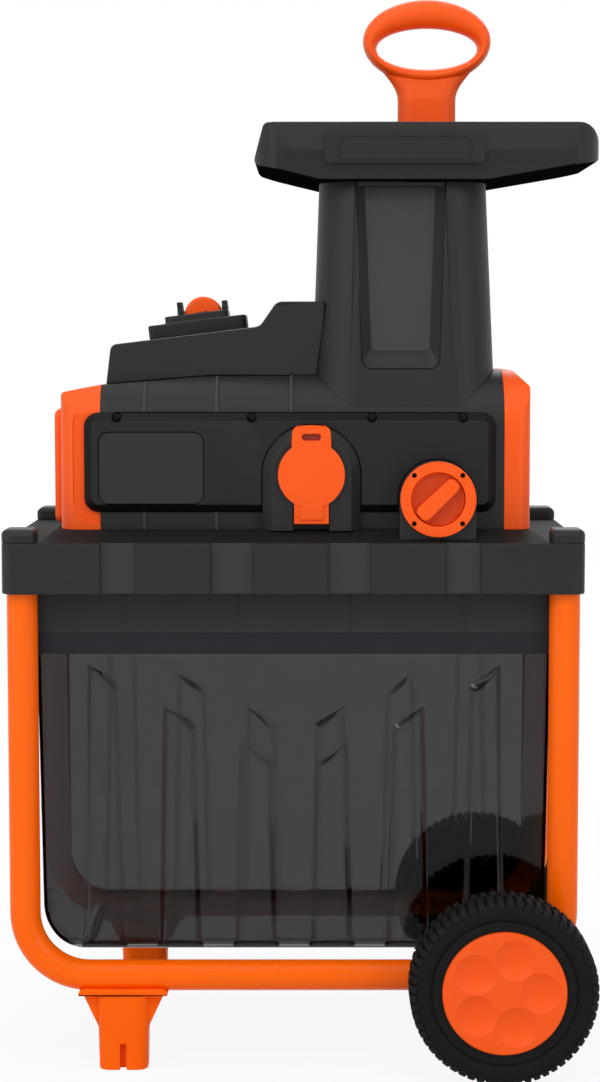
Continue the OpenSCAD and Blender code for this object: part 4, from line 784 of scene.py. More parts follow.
@dataclass
class TubeFrame:
    """Bent tube that carries one side of the tray."""

    end: End
    tube_r: float = 0.0125
    bend_r: float = 0.0525
    sides: int = 48
    bend_steps: int = 20

    def build(self) -> None:
        """Draw the tube down one leg, across and up the other."""
        node = self.end.value + "_frame"
        low, mid, high = span(node)
        left, right = low.x + self.tube_r, high.x - self.tube_r
        base = low.z + self.tube_r
        bend_z = base + self.bend_r
        leg = high.z - base - self.bend_r
        tube = Blank.hoop(self.end.value + "_tube", (left, mid.y, high.z), self.tube_r, Axis.Z, self.sides)
        tube.every(Pick.EDGE).extrude((0, 0, -leg))
        tube.spin(QUARTER, self.bend_steps, (left + self.bend_r, mid.y, bend_z))
        tube.extrude((right - left - 2 * self.bend_r, 0, 0))
        tube.spin(QUARTER, self.bend_steps, (right - self.bend_r, mid.y, bend_z))
        tube.extrude((0, 0, leg)).done()
        for x in (left, right):
            tube.edges(both(lies(Z, high.z), lambda a, b: abs(a.x - x) < 2 * self.tube_r))
            bpy.ops.mesh.edge_face_add()
            tube.done()
        deliver(tube.weld().smooth(), Finish.ORANGE_PAINT, MACHINE, node)


@dataclass
class Wheel:
    """Tyre with shoulder lugs and a dimpled hub cap."""

    end: End
    lug_count: int = 60
    lug_w: float = 0.0058
    lug_h: float = 0.0024
    lug_root: float = 0.0035
    lug_start: float = 0.001
    lug_narrow: float = 0.75
    shoulder: float = 0.0062
    shoulder_steps: int = 5
    spin_steps: int = 96
    cap_edge: float = 0.002
    cap_crease: float = 18.0
    dimple_count: int = 5
    dimple_r: float = 0.0165
    dimple_deep: float = 0.0055
    dimple_margin: float = 0.005
    dimple_turn: float = 2.0

    def build(self) -> None:
        """Build the tyre and the cap."""
        self.tyre()
        self.cap()

    def tyre(self) -> None:
        """Spin the carcass and set two staggered rows of lugs round it."""
        node = self.end.value + "_tyre"
        low, centre, high = span(node)
        seat_low, _, seat_high = span(self.end.value + "_rim")
        outer, half = (high.z - low.z) / 2, (high.y - low.y) / 2
        bead = (seat_high.z - seat_low.z) / 2
        carcass = outer - self.lug_h
        section = centre + Vector((0, 0, (bead + carcass) / 2))
        tyre = Blank.sheet(self.end.value + "_tread", section, 2 * half, carcass - bead)
        tyre.every(Pick.VERT)
        bpy.ops.mesh.bevel(offset=self.shoulder, segments=self.shoulder_steps, affect="VERTICES")
        bpy.ops.mesh.delete(type="ONLY_FACE")
        tyre.every(Pick.EDGE).spin(math.tau, self.spin_steps, centre).done().weld()
        lug = self.lug(centre, carcass, outer, half)
        step = math.tau / self.lug_count
        lugs = []
        for row in (0.0, 0.5):
            flip = Matrix.Rotation(math.tau * row, 4, "Z")
            for i in range(self.lug_count):
                placing = Matrix.Rotation((i + row) * step, 4, "Y") @ flip
                lugs.append(lug.copy(Matrix.Translation(centre) @ placing @ Matrix.Translation(-centre)))
        lug.scrap()
        deliver(tyre.gather(lugs).smooth(), Finish.TYRE, self.end.value + "_wheel", node)

    def lug(self, centre: Vector, carcass: float, outer: float, half: float) -> Blank:
        """Model one lug of the tread, at the top of the wheel.

        Args:
            centre: Middle of the wheel.
            carcass: Radius of the tyre under the lugs.
            outer: Radius over the lugs.
            half: Half of the tyre's width.

        Returns:
            The lug.
        """
        low = centre + Vector((-self.lug_w / 2, self.lug_start, carcass - self.lug_root))
        high = centre + Vector((self.lug_w / 2, half, outer))
        lug = Blank.box("lug", low, high)
        lug.edges(both(runs(X), lies(Y, high.y), lies(Z, high.z))).bevel(self.shoulder, segments=3)
        return lug.faces(looks(Z, 1)).stretch((self.lug_narrow, 1, 1), centre).done()

    def cap(self) -> None:
        """Turn the hub cap and press its dimples."""
        node = self.end.value + "_hub_cap"
        low, centre, high = span(node)
        radius = (high.z - low.z) / 2
        face = low.y if self.end.outward < 0 else high.y
        cap = Blank.rod(self.end.value + "_cap", centre, radius, high.y - low.y, Axis.Y, FINE)
        cap.edges(lies(Y, face)).bevel(self.cap_edge, segments=4)
        ring = radius - self.dimple_r - self.dimple_margin
        bowl = (self.dimple_r ** 2 + self.dimple_deep ** 2) / (2 * self.dimple_deep)
        for i in range(self.dimple_count):
            angle = math.radians(self.dimple_turn) + math.tau * i / self.dimple_count
            spot = Vector((centre.x + ring * math.cos(angle), 0, centre.z + ring * math.sin(angle)))
            spot.y = face + self.end.outward * (bowl - self.dimple_deep)
            cap.cut(Blank.ball("dimple", spot, bowl))
        cap.smooth(math.radians(self.cap_crease))
        deliver(cap, Finish.ORANGE_PLASTIC, self.end.value + "_wheel", node)


@dataclass
class Foot:
    """Moulded foot that hugs a frame tube."""

    end: End
    leg_w: float = 0.0425
    leg_r: float = 0.009
    leg_lap: float = 0.002
    leg_taper: float = 0.94
    floor: float = 0.0622
    seat_r: float = 0.005
    tube_z: float = 0.076
    tube_r: float = 0.0128
    tube_len: float = 0.2
    gusset_h: float = 0.028
    gusset_t: float = 0.014
    gusset_in: float = 0.0025
    gusset_lap: float = 0.001
    slot_w: float = 0.005
    slot_deep: float = 0.008
    slot_h: float = 0.022
    edge: float = 0.0009

    def build(self) -> None:
        """Join leg, saddle and gussets, then cut the tube's seat and the slot."""
        node = self.end.value + "_foot"
        low, mid, high = span(node)
        half = self.leg_w / 2
        leg_top = self.floor + self.leg_lap
        foot = Blank.bar(self.end.value + "_stand", mid.x, half, (low.y, high.y), (0.0, leg_top))
        foot.faces(looks(Z, -1)).stretch((self.leg_taper, self.leg_taper, 1), (mid.x, mid.y, 0)).done()
        foot.edges(lambda a, b: abs(a.z - b.z) > half).bevel(self.leg_r, segments=6)
        saddle = Blank.box("saddle", (low.x, low.y, self.floor), high)
        saddle.edges(both(runs(Y), lies(Z, high.z))).bevel(self.seat_r, segments=5)
        inner, outer = half - self.gusset_lap, (high.x - low.x) / 2 - self.gusset_in
        foot_z, top_z = self.floor - self.gusset_h, self.floor + self.gusset_lap
        corners = ((-outer, top_z), (-inner, foot_z), (inner, foot_z), (outer, top_z))
        outline = [(mid.x + x, mid.y - self.gusset_t / 2, z) for x, z in corners]
        foot.add(saddle, Blank.drawn("gusset", outline, (0, self.gusset_t, 0)))
        foot.cut(Blank.rod("tube", (mid.x, mid.y, self.tube_z), self.tube_r, self.tube_len, Axis.X, sides=96))
        for y in (low.y, high.y):
            foot.cut(Blank.bar("slot", mid.x, self.slot_w / 2, (y - self.slot_deep, y + self.slot_deep),
                               (-REACH, self.slot_h)))
        deliver(foot.soften(self.edge).smooth(), Finish.FOOT_ORANGE, MACHINE, node)


@dataclass
class Bin:
    """Smoked clear tub with slanting flutes in its long walls and a lip that hangs in the runners."""

    wall: float = 0.0025
    draft: float = 0.004
    half_d: float = 0.1005
    corner_r: float = 0.040
    edge_r: float = 0.012
    pull_lip: float = 0.010
    lip_t: float = 0.003
    lip_edge: float = 0.0006
    flute_x: tuple[float, ...] = (0.0315, 0.0945, 0.1575)
    flute_drop: tuple[float, ...] = (0.070, 0.040, 0.005)
    flute_foot: float = 0.019
    flute_crown: float = 0.007
    flute_slant: float = 0.009
    flute_out: float = 0.003
    flute_sink: float = 0.005
    flute_slope: float = 0.010
    half_w: float = field(init=False)
    x: float = field(init=False)
    low: float = field(init=False)
    top: float = field(init=False)

    def build(self) -> None:
        """Form the tub inside and outside, join the lip and hollow it."""
        low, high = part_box("bin")
        self.half_w = (high.x - low.x - self.pull_lip) / 2
        self.x = high.x - self.half_w
        self.low, self.top = low.z, high.z
        tub = self.form("bin_tub", 0.0, self.top)
        tub.add(Blank.box("lip", (low.x, low.y, self.top - self.lip_t), high).soften(self.lip_edge))
        tub.cut(self.form("hollow", self.wall, self.top + REACH))
        # The flutes' sloping sides and tops are painted a darker tint: painted shade for the dark lines along
        # them.
        deliver(tub.smooth().paint(Finish.SMOKED_FLUTE_SHADE, on_flute_side), Finish.SMOKED_CLEAR, "bin", "bin")

    def form(self, name: str, inset: float, top: float) -> Blank:
        """Form the fluted tub, drawn in by an inset, as a solid.

        Args:
            name: Name of the solid.
            inset: How far its walls are drawn in.
            top: Height of its top.

        Returns:
            The solid.
        """
        tub = self.along(name, inset, top)
        tub.shape(self.across("across", inset, top, 0.0), Cut.KEEP)
        flutes = []
        for x, drop in zip(self.flute_x, self.flute_drop):
            flute = self.flute(x, drop, inset)
            for side_x in (-1, 1):
                for side_y in (-1, 1):
                    flip = Matrix.Diagonal((side_x, side_y, 1, 1))
                    flutes.append(flute.copy(Matrix.Translation((self.x, 0, 0)) @ flip).weld())
            flute.scrap()
        every = flutes[0].gather(flutes[1:])
        every.shape(self.across("bound", inset, top, self.flute_out), Cut.KEEP)
        return tub.add(every)

    def along(self, name: str, inset: float, top: float) -> Blank:
        """Draw the tub's long outline: tapered, with round lower corners.

        Args:
            name: Name of the solid.
            inset: How far its walls are drawn in.
            top: Height of its top.

        Returns:
            The solid.
        """
        half, low = self.half_w - inset, self.low + inset
        block = Blank.bar(name, self.x, half, (-2 * self.half_d, 2 * self.half_d), (low, top))
        block.faces(looks(Z, -1)).stretch(((half - self.draft) / half, 1, 1), (self.x, 0, low)).done()
        return block.edges(both(runs(Y), lies(Z, low))).bevel(self.corner_r - inset, segments=14)

    def across(self, name: str, inset: float, top: float, extra: float) -> Blank:
        """Draw the tub's cross outline.

        Args:
            name: Name of the solid.
            inset: How far its walls are drawn in.
            top: Height of its top.
            extra: How much it is widened.

        Returns:
            The solid.
        """
        half, low = self.half_d - inset + extra, self.low + inset
        block = Blank.bar(name, self.x, 2 * self.half_w, (-half, half), (low, top))
        block.faces(looks(Z, -1)).stretch((1, (half - self.draft) / half, 1), (self.x, 0, low)).done()
        return block.edges(both(runs(X), lies(Z, low))).bevel(self.edge_r - inset, segments=8)

    def flute(self, x: float, drop: float, inset: float) -> Blank:
        """Draw one flute of the front wall with sloping sides and a slanting top.

        Args:
            x: Place of the flute from the tub's middle.
            drop: How far its top lies below the runner.
            inset: How far it is drawn in.

        Returns:
            The flute.
        """
        start = -self.half_d + self.flute_sink + inset
        reach = -self.half_d - self.flute_out - self.flute_sink / 5 + inset
        half = self.flute_foot - inset / 2
        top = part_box("front_runner")[0].z - drop - inset
        low = self.low - REACH
        corners = ((-half, low), (half, low), (half, top), (-half, top - 2 * self.flute_slant))
        flute = Blank.drawn("flute", [(x + off, start, z) for off, z in corners], (0, reach - start, 0))
        narrow = (self.flute_crown - inset / 2) / half
        tall = 1 - self.flute_slope / (top - low)
        return flute.faces(looks(Y, -1)).stretch((narrow, 1, tall), (x, reach, low)).done()


@dataclass
class Pusher:
    """Oval grip on a flared neck, with the stop bar and the ribbed paddle below it."""

    loop_half_w: float = 0.054
    loop_half_h: float = 0.035
    loop_half_t: float = 0.013
    loop_sides: int = 96
    hole_half_w: float = 0.0425
    hole_half_h: float = 0.017
    hole_drop: float = 0.006
    loop_rings: int = 28
    neck_half_w: float = 0.0245
    neck_half_t: float = 0.013
    neck_flat: float = 0.0002
    neck_segments: int = 10
    flare_low: float = 0.049
    flare_h: float = 0.024
    flare_w: float = 0.013
    flare_slim: float = 0.004
    flare_steps: int = 14
    stop_lift: float = 0.0033
    stop_t: float = 0.006
    paddle_half_w: float = 0.038
    paddle_half_d: float = 0.030
    web_t: float = 0.006
    foot_t: float = 0.008
    edge: float = 0.0008

    def build(self) -> None:
        """Join loop, neck, stop bar and paddle."""
        low, mid, high = span("pusher")
        stop_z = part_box("hopper_chute")[1].z + self.stop_lift
        loop_z = high.z - self.loop_half_h
        grip = self.loop(Vector((mid.x, mid.y, loop_z)))
        grip.add(self.neck(mid, stop_z, loop_z))
        web, wide, deep = self.web_t / 2, self.paddle_half_w, self.paddle_half_d
        webs = (low.z, stop_z + self.stop_t / 2)
        foot = Blank.bar("foot", mid.x, wide, (-deep, deep), (low.z, low.z + self.foot_t))
        pieces = [
            Blank.bar("stop", mid.x, self.neck_half_w, (low.y, high.y), (stop_z, stop_z + self.stop_t)),
            Blank.bar("web_along", mid.x, wide, (-web, web), webs),
            Blank.bar("web_across", mid.x, web, (-deep, deep), webs),
            foot.edges(runs(Z)).bevel(self.foot_t, segments=6),
        ]
        for piece in pieces:
            grip.add(piece.soften(self.edge))
        deliver(grip.smooth(), Finish.ORANGE_PLASTIC, "pusher", "pusher")

    def loop(self, centre: Vector) -> Blank:
        """Sweep the grip's skin round its section, from the outer oval over the side to the hole's oval.

        Args:
            centre: Middle of the loop.

        Returns:
            The loop.
        """
        rings = []
        for i in range(self.loop_rings):
            turn = math.tau * i / self.loop_rings
            share = (1 + math.cos(turn)) / 2
            wide = self.hole_half_w + (self.loop_half_w - self.hole_half_w) * share
            tall = self.hole_half_h + (self.loop_half_h - self.hole_half_h) * share
            drop = self.hole_drop * (1 - share)
            rings.append((centre + Vector((0, self.loop_half_t * math.sin(turn), -drop)), wide, tall))
        return Blank.swept("pusher_grip", rings, self.loop_sides)

    def neck(self, mid: Vector, foot: float, loop_z: float) -> Blank:
        """Raise the neck from the stop bar and flare it into the loop.

        Args:
            mid: Middle of the pusher.
            foot: Height of the neck's foot.
            loop_z: Height of the loop's middle.

        Returns:
            The neck.
        """
        base = loop_z - self.flare_low
        half_w, half_t = self.neck_half_w, self.neck_half_t
        neck = Blank.bar("neck", mid.x, half_w, (-half_t, half_t), (foot, base))
        neck.edges(runs(Z)).bevel(half_t - self.neck_flat, self.neck_segments)
        neck.faces(looks(Z, 1))
        for i in range(self.flare_steps):
            shares = (i / self.flare_steps, (i + 1) / self.flare_steps)
            grow = [half_w + self.flare_w * (1 - math.cos(QUARTER * s)) for s in shares]
            slim = [half_t - self.flare_slim * s for s in shares]
            neck.extrude((0, 0, self.flare_h / self.flare_steps))
            neck.stretch((grow[1] / grow[0], slim[1] / slim[0], 1),
                         (mid.x, mid.y, base + self.flare_h * shares[1]))
        return neck.done()


@dataclass
class InletFlap:
    """Keyhole-shaped lid of the power inlet, with a finger tab and a hinged tongue."""

    disc_r: float = 0.0271
    disc_steps: int = 36
    plate_t: float = 0.004
    seat: float = 0.0003
    tab_half: float = 0.0158
    tab_top_half: float = 0.0122
    tab_shoulder: float = 0.010
    tab_steps: int = 8
    tab_crown: float = 0.0014
    crown_shares: tuple[float, ...] = (0.8, 0.55, 0.25)
    base_half: float = 0.0141
    tongue_half: float = 0.0093
    tongue_lift: float = 0.0035
    step: float = 0.0012
    slot_half: float = 0.008
    slot_h: float = 0.006
    slot_flat: float = 0.0001
    slot_drop: float = 0.0065
    slot_deep: float = 0.0025
    edge: float = 0.0004

    def build(self) -> None:
        """Draw the lid, set its base, cut the finger slot and take the hinge cheeks over."""
        low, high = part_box("inlet_flap")
        boss_low, boss_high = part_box("inlet_boss")
        centre = Vector(((boss_low.x + boss_high.x) / 2, boss_low.y - self.seat, boss_high.z))
        centre.z -= (boss_high.x - boss_low.x) / 2
        x, back = centre.x, centre.y
        front = back - self.plate_t
        floor = front + self.slot_deep
        outline = self.outline(centre, low.z + self.tongue_lift, high.z)
        lid = Blank.drawn("inlet_lid", outline, (0, -self.plate_t, 0))
        lid.add(Blank.bar("base", x, self.base_half, (front + self.step, back - self.seat),
                          (low.z, centre.z - self.disc_r / 2)))
        top = high.z - self.slot_drop
        slot = Blank.bar("slot", x, self.slot_half, (front - REACH, floor), (top - self.slot_h, top))
        lid.cut(slot.edges(runs(Y)).bevel(self.slot_h / 2 - self.slot_flat, segments=6))
        cheeks = Blank.cast("cheeks", "inlet_flap").halve((0, back - self.seat / 2, 0), (0, -1, 0))
        lid.add(cheeks).soften(self.edge).smooth()
        # The finger slot's floor is painted a dark orange: painted shade in the slot.
        lid.paint(Finish.SLOT_SHADE_ORANGE, lambda spot, normal:
                  normal.y < -SQUARE_ON and spot.z > centre.z and close(spot.y, floor))
        deliver(lid, Finish.ORANGE_PLASTIC, "inlet_flap", "inlet_flap")

    def outline(self, centre: Vector, foot: float, top: float) -> list[Point]:
        """Return the lid's outline: tongue, disc and finger tab.

        Args:
            centre: Middle of the disc, on the lid's back.
            foot: Height of the tongue's foot.
            top: Height of the tab's top.

        Returns:
            The corners, in order round the lid.
        """
        low = -math.acos(self.tongue_half / self.disc_r)
        high = math.acos(self.tab_half / self.disc_r)
        right = [(self.tongue_half, foot - centre.z)]
        for i in range(self.disc_steps + 1):
            angle = low + (high - low) * i / self.disc_steps
            right.append((self.disc_r * math.cos(angle), self.disc_r * math.sin(angle)))
        right += [(x, top - centre.z - drop) for x, drop in self.tab()]
        left = [(-x, z) for x, z in reversed(right)]
        return [(centre.x + x, centre.y, centre.z + z) for x, z in right + left]

    def tab(self) -> list[Span]:
        """Return the right half of the tab's outline.

        Returns:
            Places across the tab and drops from its top.
        """
        points = []
        for i in range(self.tab_steps + 1):
            share = i / self.tab_steps
            x = self.tab_half + (self.tab_top_half - self.tab_half) * share ** 2
            middle_drop = self.tab_shoulder * (1 - share) + self.tab_crown * share
            points.append((x, middle_drop * (1 - share) + self.tab_crown * share))
        crown = [(self.tab_top_half * share, self.tab_crown * share ** 2) for share in self.crown_shares]
        return points + crown


@dataclass
class Adjuster:
    """Collar with its screw holes and the dial with its diagonal grip."""

    bore_r: float = 0.0218
    hole_r: float = 0.0021
    hole_in: float = 0.003
    collar_edge: float = 0.0007
    dial_r: float = 0.0214
    dial_edge: float = 0.001
    grip_h: float = 0.0075
    grip_root: float = 0.001
    grip_reach: float = 0.0205
    grip_narrow: float = 0.0058
    grip_wide: float = 0.0066
    grip_r: float = 0.0048
    grip_edge: float = 0.0014
    grip_turn: float = -44.0

    def build(self) -> None:
        """Build the collar and the dial."""
        self.collar()
        self.dial()

    def collar(self) -> None:
        """Bore the collar and drill it for its four screws."""
        low, mid, high = span("knob_ring")
        radius, deep = (high.z - low.z) / 2, high.y - low.y
        collar = Blank.rod("knob_collar", mid, radius, deep, Axis.Y, FINE)
        collar.cut(Blank.rod("bore", mid, self.bore_r, 2 * deep, Axis.Y, FINE))
        collar.edges(both(lies(Y, low.y), lambda a, b: (a - b).length < self.hole_r))
        collar.bevel(self.collar_edge, segments=3)
        for spot in corner_spots(mid, radius - self.hole_in):
            collar.cut(Blank.rod("hole", spot, self.hole_r, 2 * deep, Axis.Y, sides=32))
        deliver(collar.smooth(), Finish.ORANGE_PLASTIC, MACHINE, "knob_ring")

    def dial(self) -> None:
        """Turn the dial and set the grip across it."""
        low, mid, high = span("adjust_knob")
        face = low.y + self.grip_h
        centre = (mid.x, (face + high.y) / 2, mid.z)
        dial = Blank.rod("knob_dial", centre, self.dial_r, high.y - face, Axis.Y, FINE)
        dial.edges(lies(Y, face)).bevel(self.dial_edge, segments=3)
        start = face + self.grip_root
        reach, narrow, wide = self.grip_reach, self.grip_narrow, self.grip_wide
        corners = ((-reach, -wide), (reach, -narrow), (reach, narrow), (-reach, wide))
        grip = Blank.drawn("grip", [(x, start, z) for x, z in corners], (0, low.y - start, 0))
        grip.edges(runs(Y)).bevel(self.grip_r, segments=6)
        grip.edges(lies(Y, low.y)).bevel(self.grip_edge, segments=4)
        turn = Matrix.Rotation(math.radians(self.grip_turn), 4, "Y")
        dial.add(grip.turn(Matrix.Translation((mid.x, 0, mid.z)) @ turn)).smooth()
        # The dial's sunk face is painted a darker orange: painted shade inside the collar.
        dial.paint(Finish.SUNK_SHADE_ORANGE, lambda spot, normal: normal.y < -SQUARE_ON and close(spot.y, face))
        deliver(dial, Finish.ORANGE_PLASTIC, "adjuster", "adjust_knob")


def corner_spots(centre: Vector, radius: float) -> list[Vector]:
    """Return the four diagonal places at a radius about a centre, in the plane of X and Z."""
    reach = radius / math.sqrt(2)
    return [centre + Vector((x * reach, 0, z * reach)) for x in (-1, 1) for z in (-1, 1)]


@dataclass
class Screws:
    """Cross-recessed screws of the front panel and of the knob's collar."""

    panel_x: tuple[float, ...] = (-0.1525, -0.0425, 0.0555, 0.1295)
    head_r: float = 0.0027
    head_sink: float = 0.0048
    head_h: float = 0.003
    drop: float = 0.004
    shank_r: float = 0.0015
    shank_len: float = 0.004
    shank_out: float = 0.0015
    recess: float = 0.0016
    small_r: float = 0.0019
    small_h: float = 0.004
    sink: float = 0.0025
    hole_in: float = 0.003
    # Shares of the head's radius
    round_share: float = 0.22
    shank_share: float = 0.7
    cross_wide: float = 0.62
    cross_thin: float = 0.16

    def build(self) -> None:
        """Model one screw of each size and set its copies in the panel and the collar."""
        low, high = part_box("front_panel")
        spots = [Vector((x, low.y + self.head_sink, high.z - self.drop)) for x in self.panel_x]
        screws = self.row(self.screw(self.head_r, self.head_h), spots)
        low, mid, high = span("knob_ring")
        mid.y = low.y + self.sink
        spots = corner_spots(mid, (high.z - low.z) / 2 - self.hole_in)
        screws += self.row(self.screw(self.small_r, self.small_h), spots)
        every = screws[0].gather(screws[1:])
        every.obj.name = "cover_screw_set"
        deliver(every.smooth(), Finish.BLACKED_STEEL, MACHINE, "cover_screws")

    @staticmethod
    def row(screw: Blank, spots: list[Vector]) -> list[Blank]:
        """Copy a screw to each of some places and scrap it.

        Args:
            screw: The screw, its face at the origin.
            spots: The places.

        Returns:
            The copies.
        """
        copies = [screw.copy(Matrix.Translation(spot)) for spot in spots]
        screw.scrap()
        return copies

    def screw(self, radius: float, height: float) -> Blank:
        """Turn a head with a shank, its face at the origin, and cut the cross into it.

        Args:
            radius: Radius of the head.
            height: Height of the head.

        Returns:
            The screw.
        """
        screw = Blank.rod("screw", (0, height / 2, 0), radius, height, Axis.Y, sides=40)
        screw.edges(lies(Y, 0)).bevel(radius * self.round_share, segments=3)
        shank_r = min(self.shank_r, radius * self.shank_share)
        middle = (0, height + self.shank_out, 0)
        screw.add(Blank.rod("shank", middle, shank_r, self.shank_len, Axis.Y, sides=24))
        wide, thin = radius * self.cross_wide, radius * self.cross_thin
        for half_x, half_z in ((wide, thin), (thin, wide)):
            screw.cut(Blank.bar("cross", 0.0, half_x, (-REACH, self.recess), (-half_z, half_z)))
        return screw


ROCKER_SLOPE = -7.0


def rocker_place() -> Matrix:
    """Return the place of the switch's rocker: its pivot, turned by its slope."""
    joint = next(j for j in frame["record"]["behaviour"]["joints"] if j["name"] == "switch_rock")
    return Matrix.Translation(joint["pos_m"]) @ Matrix.Rotation(math.radians(ROCKER_SLOPE), 4, "Y")


@dataclass
class Rocker:
    """Half-round switch rocker on two trunnions."""

    radius: float = 0.016
    half_w: float = 0.011
    edge: float = 0.0028
    flat: float = 0.0001
    hub: float = 0.004
    trunnion_r: float = 0.0025
    trunnion_half: float = 0.0145

    def build(self) -> None:
        """Halve a round bar, round its rims and add the hub and the trunnions."""
        origin = (0, 0, 0)
        dome = Blank.rod("rocker_dome", origin, self.radius, 2 * self.half_w, Axis.Y, sides=96)
        dome.halve(origin, (0, 0, -1)).edges(self.on_rim).bevel(self.edge, segments=5)
        dome.add(Blank.bar("hub", 0.0, self.hub, (-self.half_w, self.half_w), (-self.hub, self.hub)),
                 Blank.rod("trunnion", origin, self.trunnion_r, 2 * self.trunnion_half, Axis.Y, sides=32))
        dome.turn(rocker_place())
        deliver(dome.smooth(), Finish.ORANGE_PLASTIC, "switch_rocker", "switch_rocker")

    def on_rim(self, a: Vector, b: Vector) -> bool:
        """Tell whether an edge lies on one of the dome's two round rims."""
        return close(abs(a.y), self.half_w) and close(a.y, b.y) and max(a.z, b.z) > self.flat


@dataclass
class BarePlate:
    """Bordered plate on the funnel's front, left bare."""

    thick: float = 0.007
    edge: float = 0.0007
    line_out: float = 0.0007
    corner_r: float = 0.005
    line_in_x: float = 0.0115
    line_in_z: float = 0.003
    line_w: float = 0.0012

    def build(self) -> None:
        """Round the plate and raise its border."""
        low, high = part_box("name_plate")
        face = low.y + self.line_out
        plate = self.slab("bare_plate", low, high, (face, face + self.thick))
        inset = Vector((self.line_in_x, 0, self.line_in_z))
        line = Vector((self.line_w, 0, self.line_w))
        border = self.slab("border", low + inset, high - inset, (low.y, face + self.line_out))
        field_low, field_high = low + inset + line, high - inset - line
        border.cut(self.slab("field", field_low, field_high, (low.y - REACH, face + REACH)))
        plate.soften(self.edge, segments=3).add(border).smooth()
        deliver(plate, Finish.BLACK_PLASTIC, MACHINE, "name_plate")

    def slab(self, name: str, low: Vector, high: Vector, y: Span) -> Blank:
        """Make an upright slab with round corners over a span in Y."""
        slab = Blank.box(name, (low.x, y[0], low.z), (high.x, y[1], high.z))
        return slab.edges(runs(Y)).bevel(self.corner_r, segments=6)


@dataclass
class Casting:
    """Piece whose shape is the CAD node's own, with softened edges."""

    name: str
    node: str
    finish: Finish
    edge: float = 0.0008
    paints: tuple[tuple[Finish, FaceTest], ...] = ()
    plug: tuple[Point, Point] | None = None
    split: FaceTest | None = None

    def build(self) -> None:
        """Round the copied skin's edges, paint the faces that get another finish, among them painted light
        and shade, and deliver it.
        """
        blank = Blank.cast(self.name, self.node)
        if self.plug is not None:
            blank.add(Blank.box("plug", *self.plug))
        if self.split is not None:
            blank.split(self.split)
        blank.soften(self.edge).smooth()
        for finish, test in self.paints:
            blank.paint(finish, test)
        deliver(blank, self.finish, MACHINE, self.node)


@dataclass
class LeftCap:
    """Left end cap with a shallow pocket round the end of the front panel."""

    margin: float = 0.009
    deep: float = 0.0015
    corner_r: float = 0.020
    edge: float = 0.0005

    def build(self) -> None:
        """Take the cap's skin over and sink the pocket."""
        low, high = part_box("front_panel")
        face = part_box("left_end_cap")[0].y
        cap = Blank.cast("left_cap_shell", "left_end_cap")
        pocket = Blank.box("pocket", (low.x - self.margin, face - REACH, low.z - self.margin),
                           (high.x, face + self.deep, high.z + self.margin))
        pocket.edges(both(runs(Y), lambda a, b: a.x < low.x)).bevel(self.corner_r, segments=10)
        cap.cut(pocket).soften(self.edge).smooth()
        deliver(cap, Finish.ORANGE_PLASTIC, MACHINE, "left_end_cap")


@dataclass
class SwitchGuard:
    """Ears that stand beside the rocker, with walls that leave its round face in view."""

    half: float = 0.0166
    inner: float = 0.0113
    foot: float = 0.0012
    edge: float = 0.0005

    def build(self) -> None:
        """Take the guard's skin over and open its front and back before the rocker."""
        guard = Blank.cast("switch_ears", "switch_guard")
        reach = 10 * REACH
        for y in ((-reach, -self.inner), (self.inner, reach)):
            guard.cut(Blank.bar("gap", 0.0, self.half, y, (-self.foot, reach)).turn(rocker_place()))
        deliver(guard.soften(self.edge).smooth(), Finish.PANEL_BLACK, MACHINE, "switch_guard")


# Limits of the face tests below: slopes of a normal, depths behind a front face, and the places of the
# housing's ribs and of the chute's front, which leans out towards its foot
SLOPING = 0.5
FLUTE_LEAN = 0.2
FLUTE_SLOPE = 0.25
RIM_LEAN = 0.1
RIM_SLOPE = 0.3
TRAY_RECESS = (0.002, 0.006)
LABEL_RECESS = (0.0005, 0.0012)
RIB_X = (-0.1305, -0.0715, -0.0105)
RIB_HALF = 0.0013
CHUTE_FRONT = -0.070
CHUTE_LEAN = 0.028
CHANNEL_FLOOR = (0.005, 0.0105)
# Corners of the plug that closes the channel's top under the funnel
CHANNEL_PLUG = ((0.0424, -0.0695, 0.7215), (0.1156, -0.0585, 0.7255))


def on_flute_side(centre: Vector, normal: Vector) -> bool:
    """Tell whether a face of the bin's long walls is a flute's sloping side or top."""
    return abs(normal.y) > FLUTE_LEAN and max(abs(normal.x), normal.z) > FLUTE_SLOPE


def in_tray_recess(centre: Vector, normal: Vector) -> bool:
    """Tell whether a face of the tray lies in a recess between its pads."""
    deep = node_box("base_tray")[1].y - abs(centre.y)
    return abs(normal.y) > SQUARE_ON and TRAY_RECESS[0] < deep < TRAY_RECESS[1]


def on_panel_rim(centre: Vector, normal: Vector) -> bool:
    """Tell whether a face belongs to the front panel's sloping rim."""
    return normal.y < -RIM_LEAN and max(abs(normal.x), abs(normal.z)) > RIM_SLOPE


def in_label_recess(centre: Vector, normal: Vector) -> bool:
    """Tell whether a face is the floor of the front panel's bare label recess."""
    deep = centre.y - node_box("front_panel")[0].y
    return normal.y < -SQUARE_ON and LABEL_RECESS[0] < deep < LABEL_RECESS[1]


def faces_down(centre: Vector, normal: Vector) -> bool:
    """Tell whether a face looks down."""
    return normal.z < -SLOPING


def faces_up(centre: Vector, normal: Vector) -> bool:
    """Tell whether a face looks up."""
    return normal.z > SLOPING


def on_housing_rib(centre: Vector, normal: Vector) -> bool:
    """Tell whether a face belongs to one of the housing's upright ribs."""
    return any(abs(centre.x - x) < RIB_HALF for x in RIB_X)


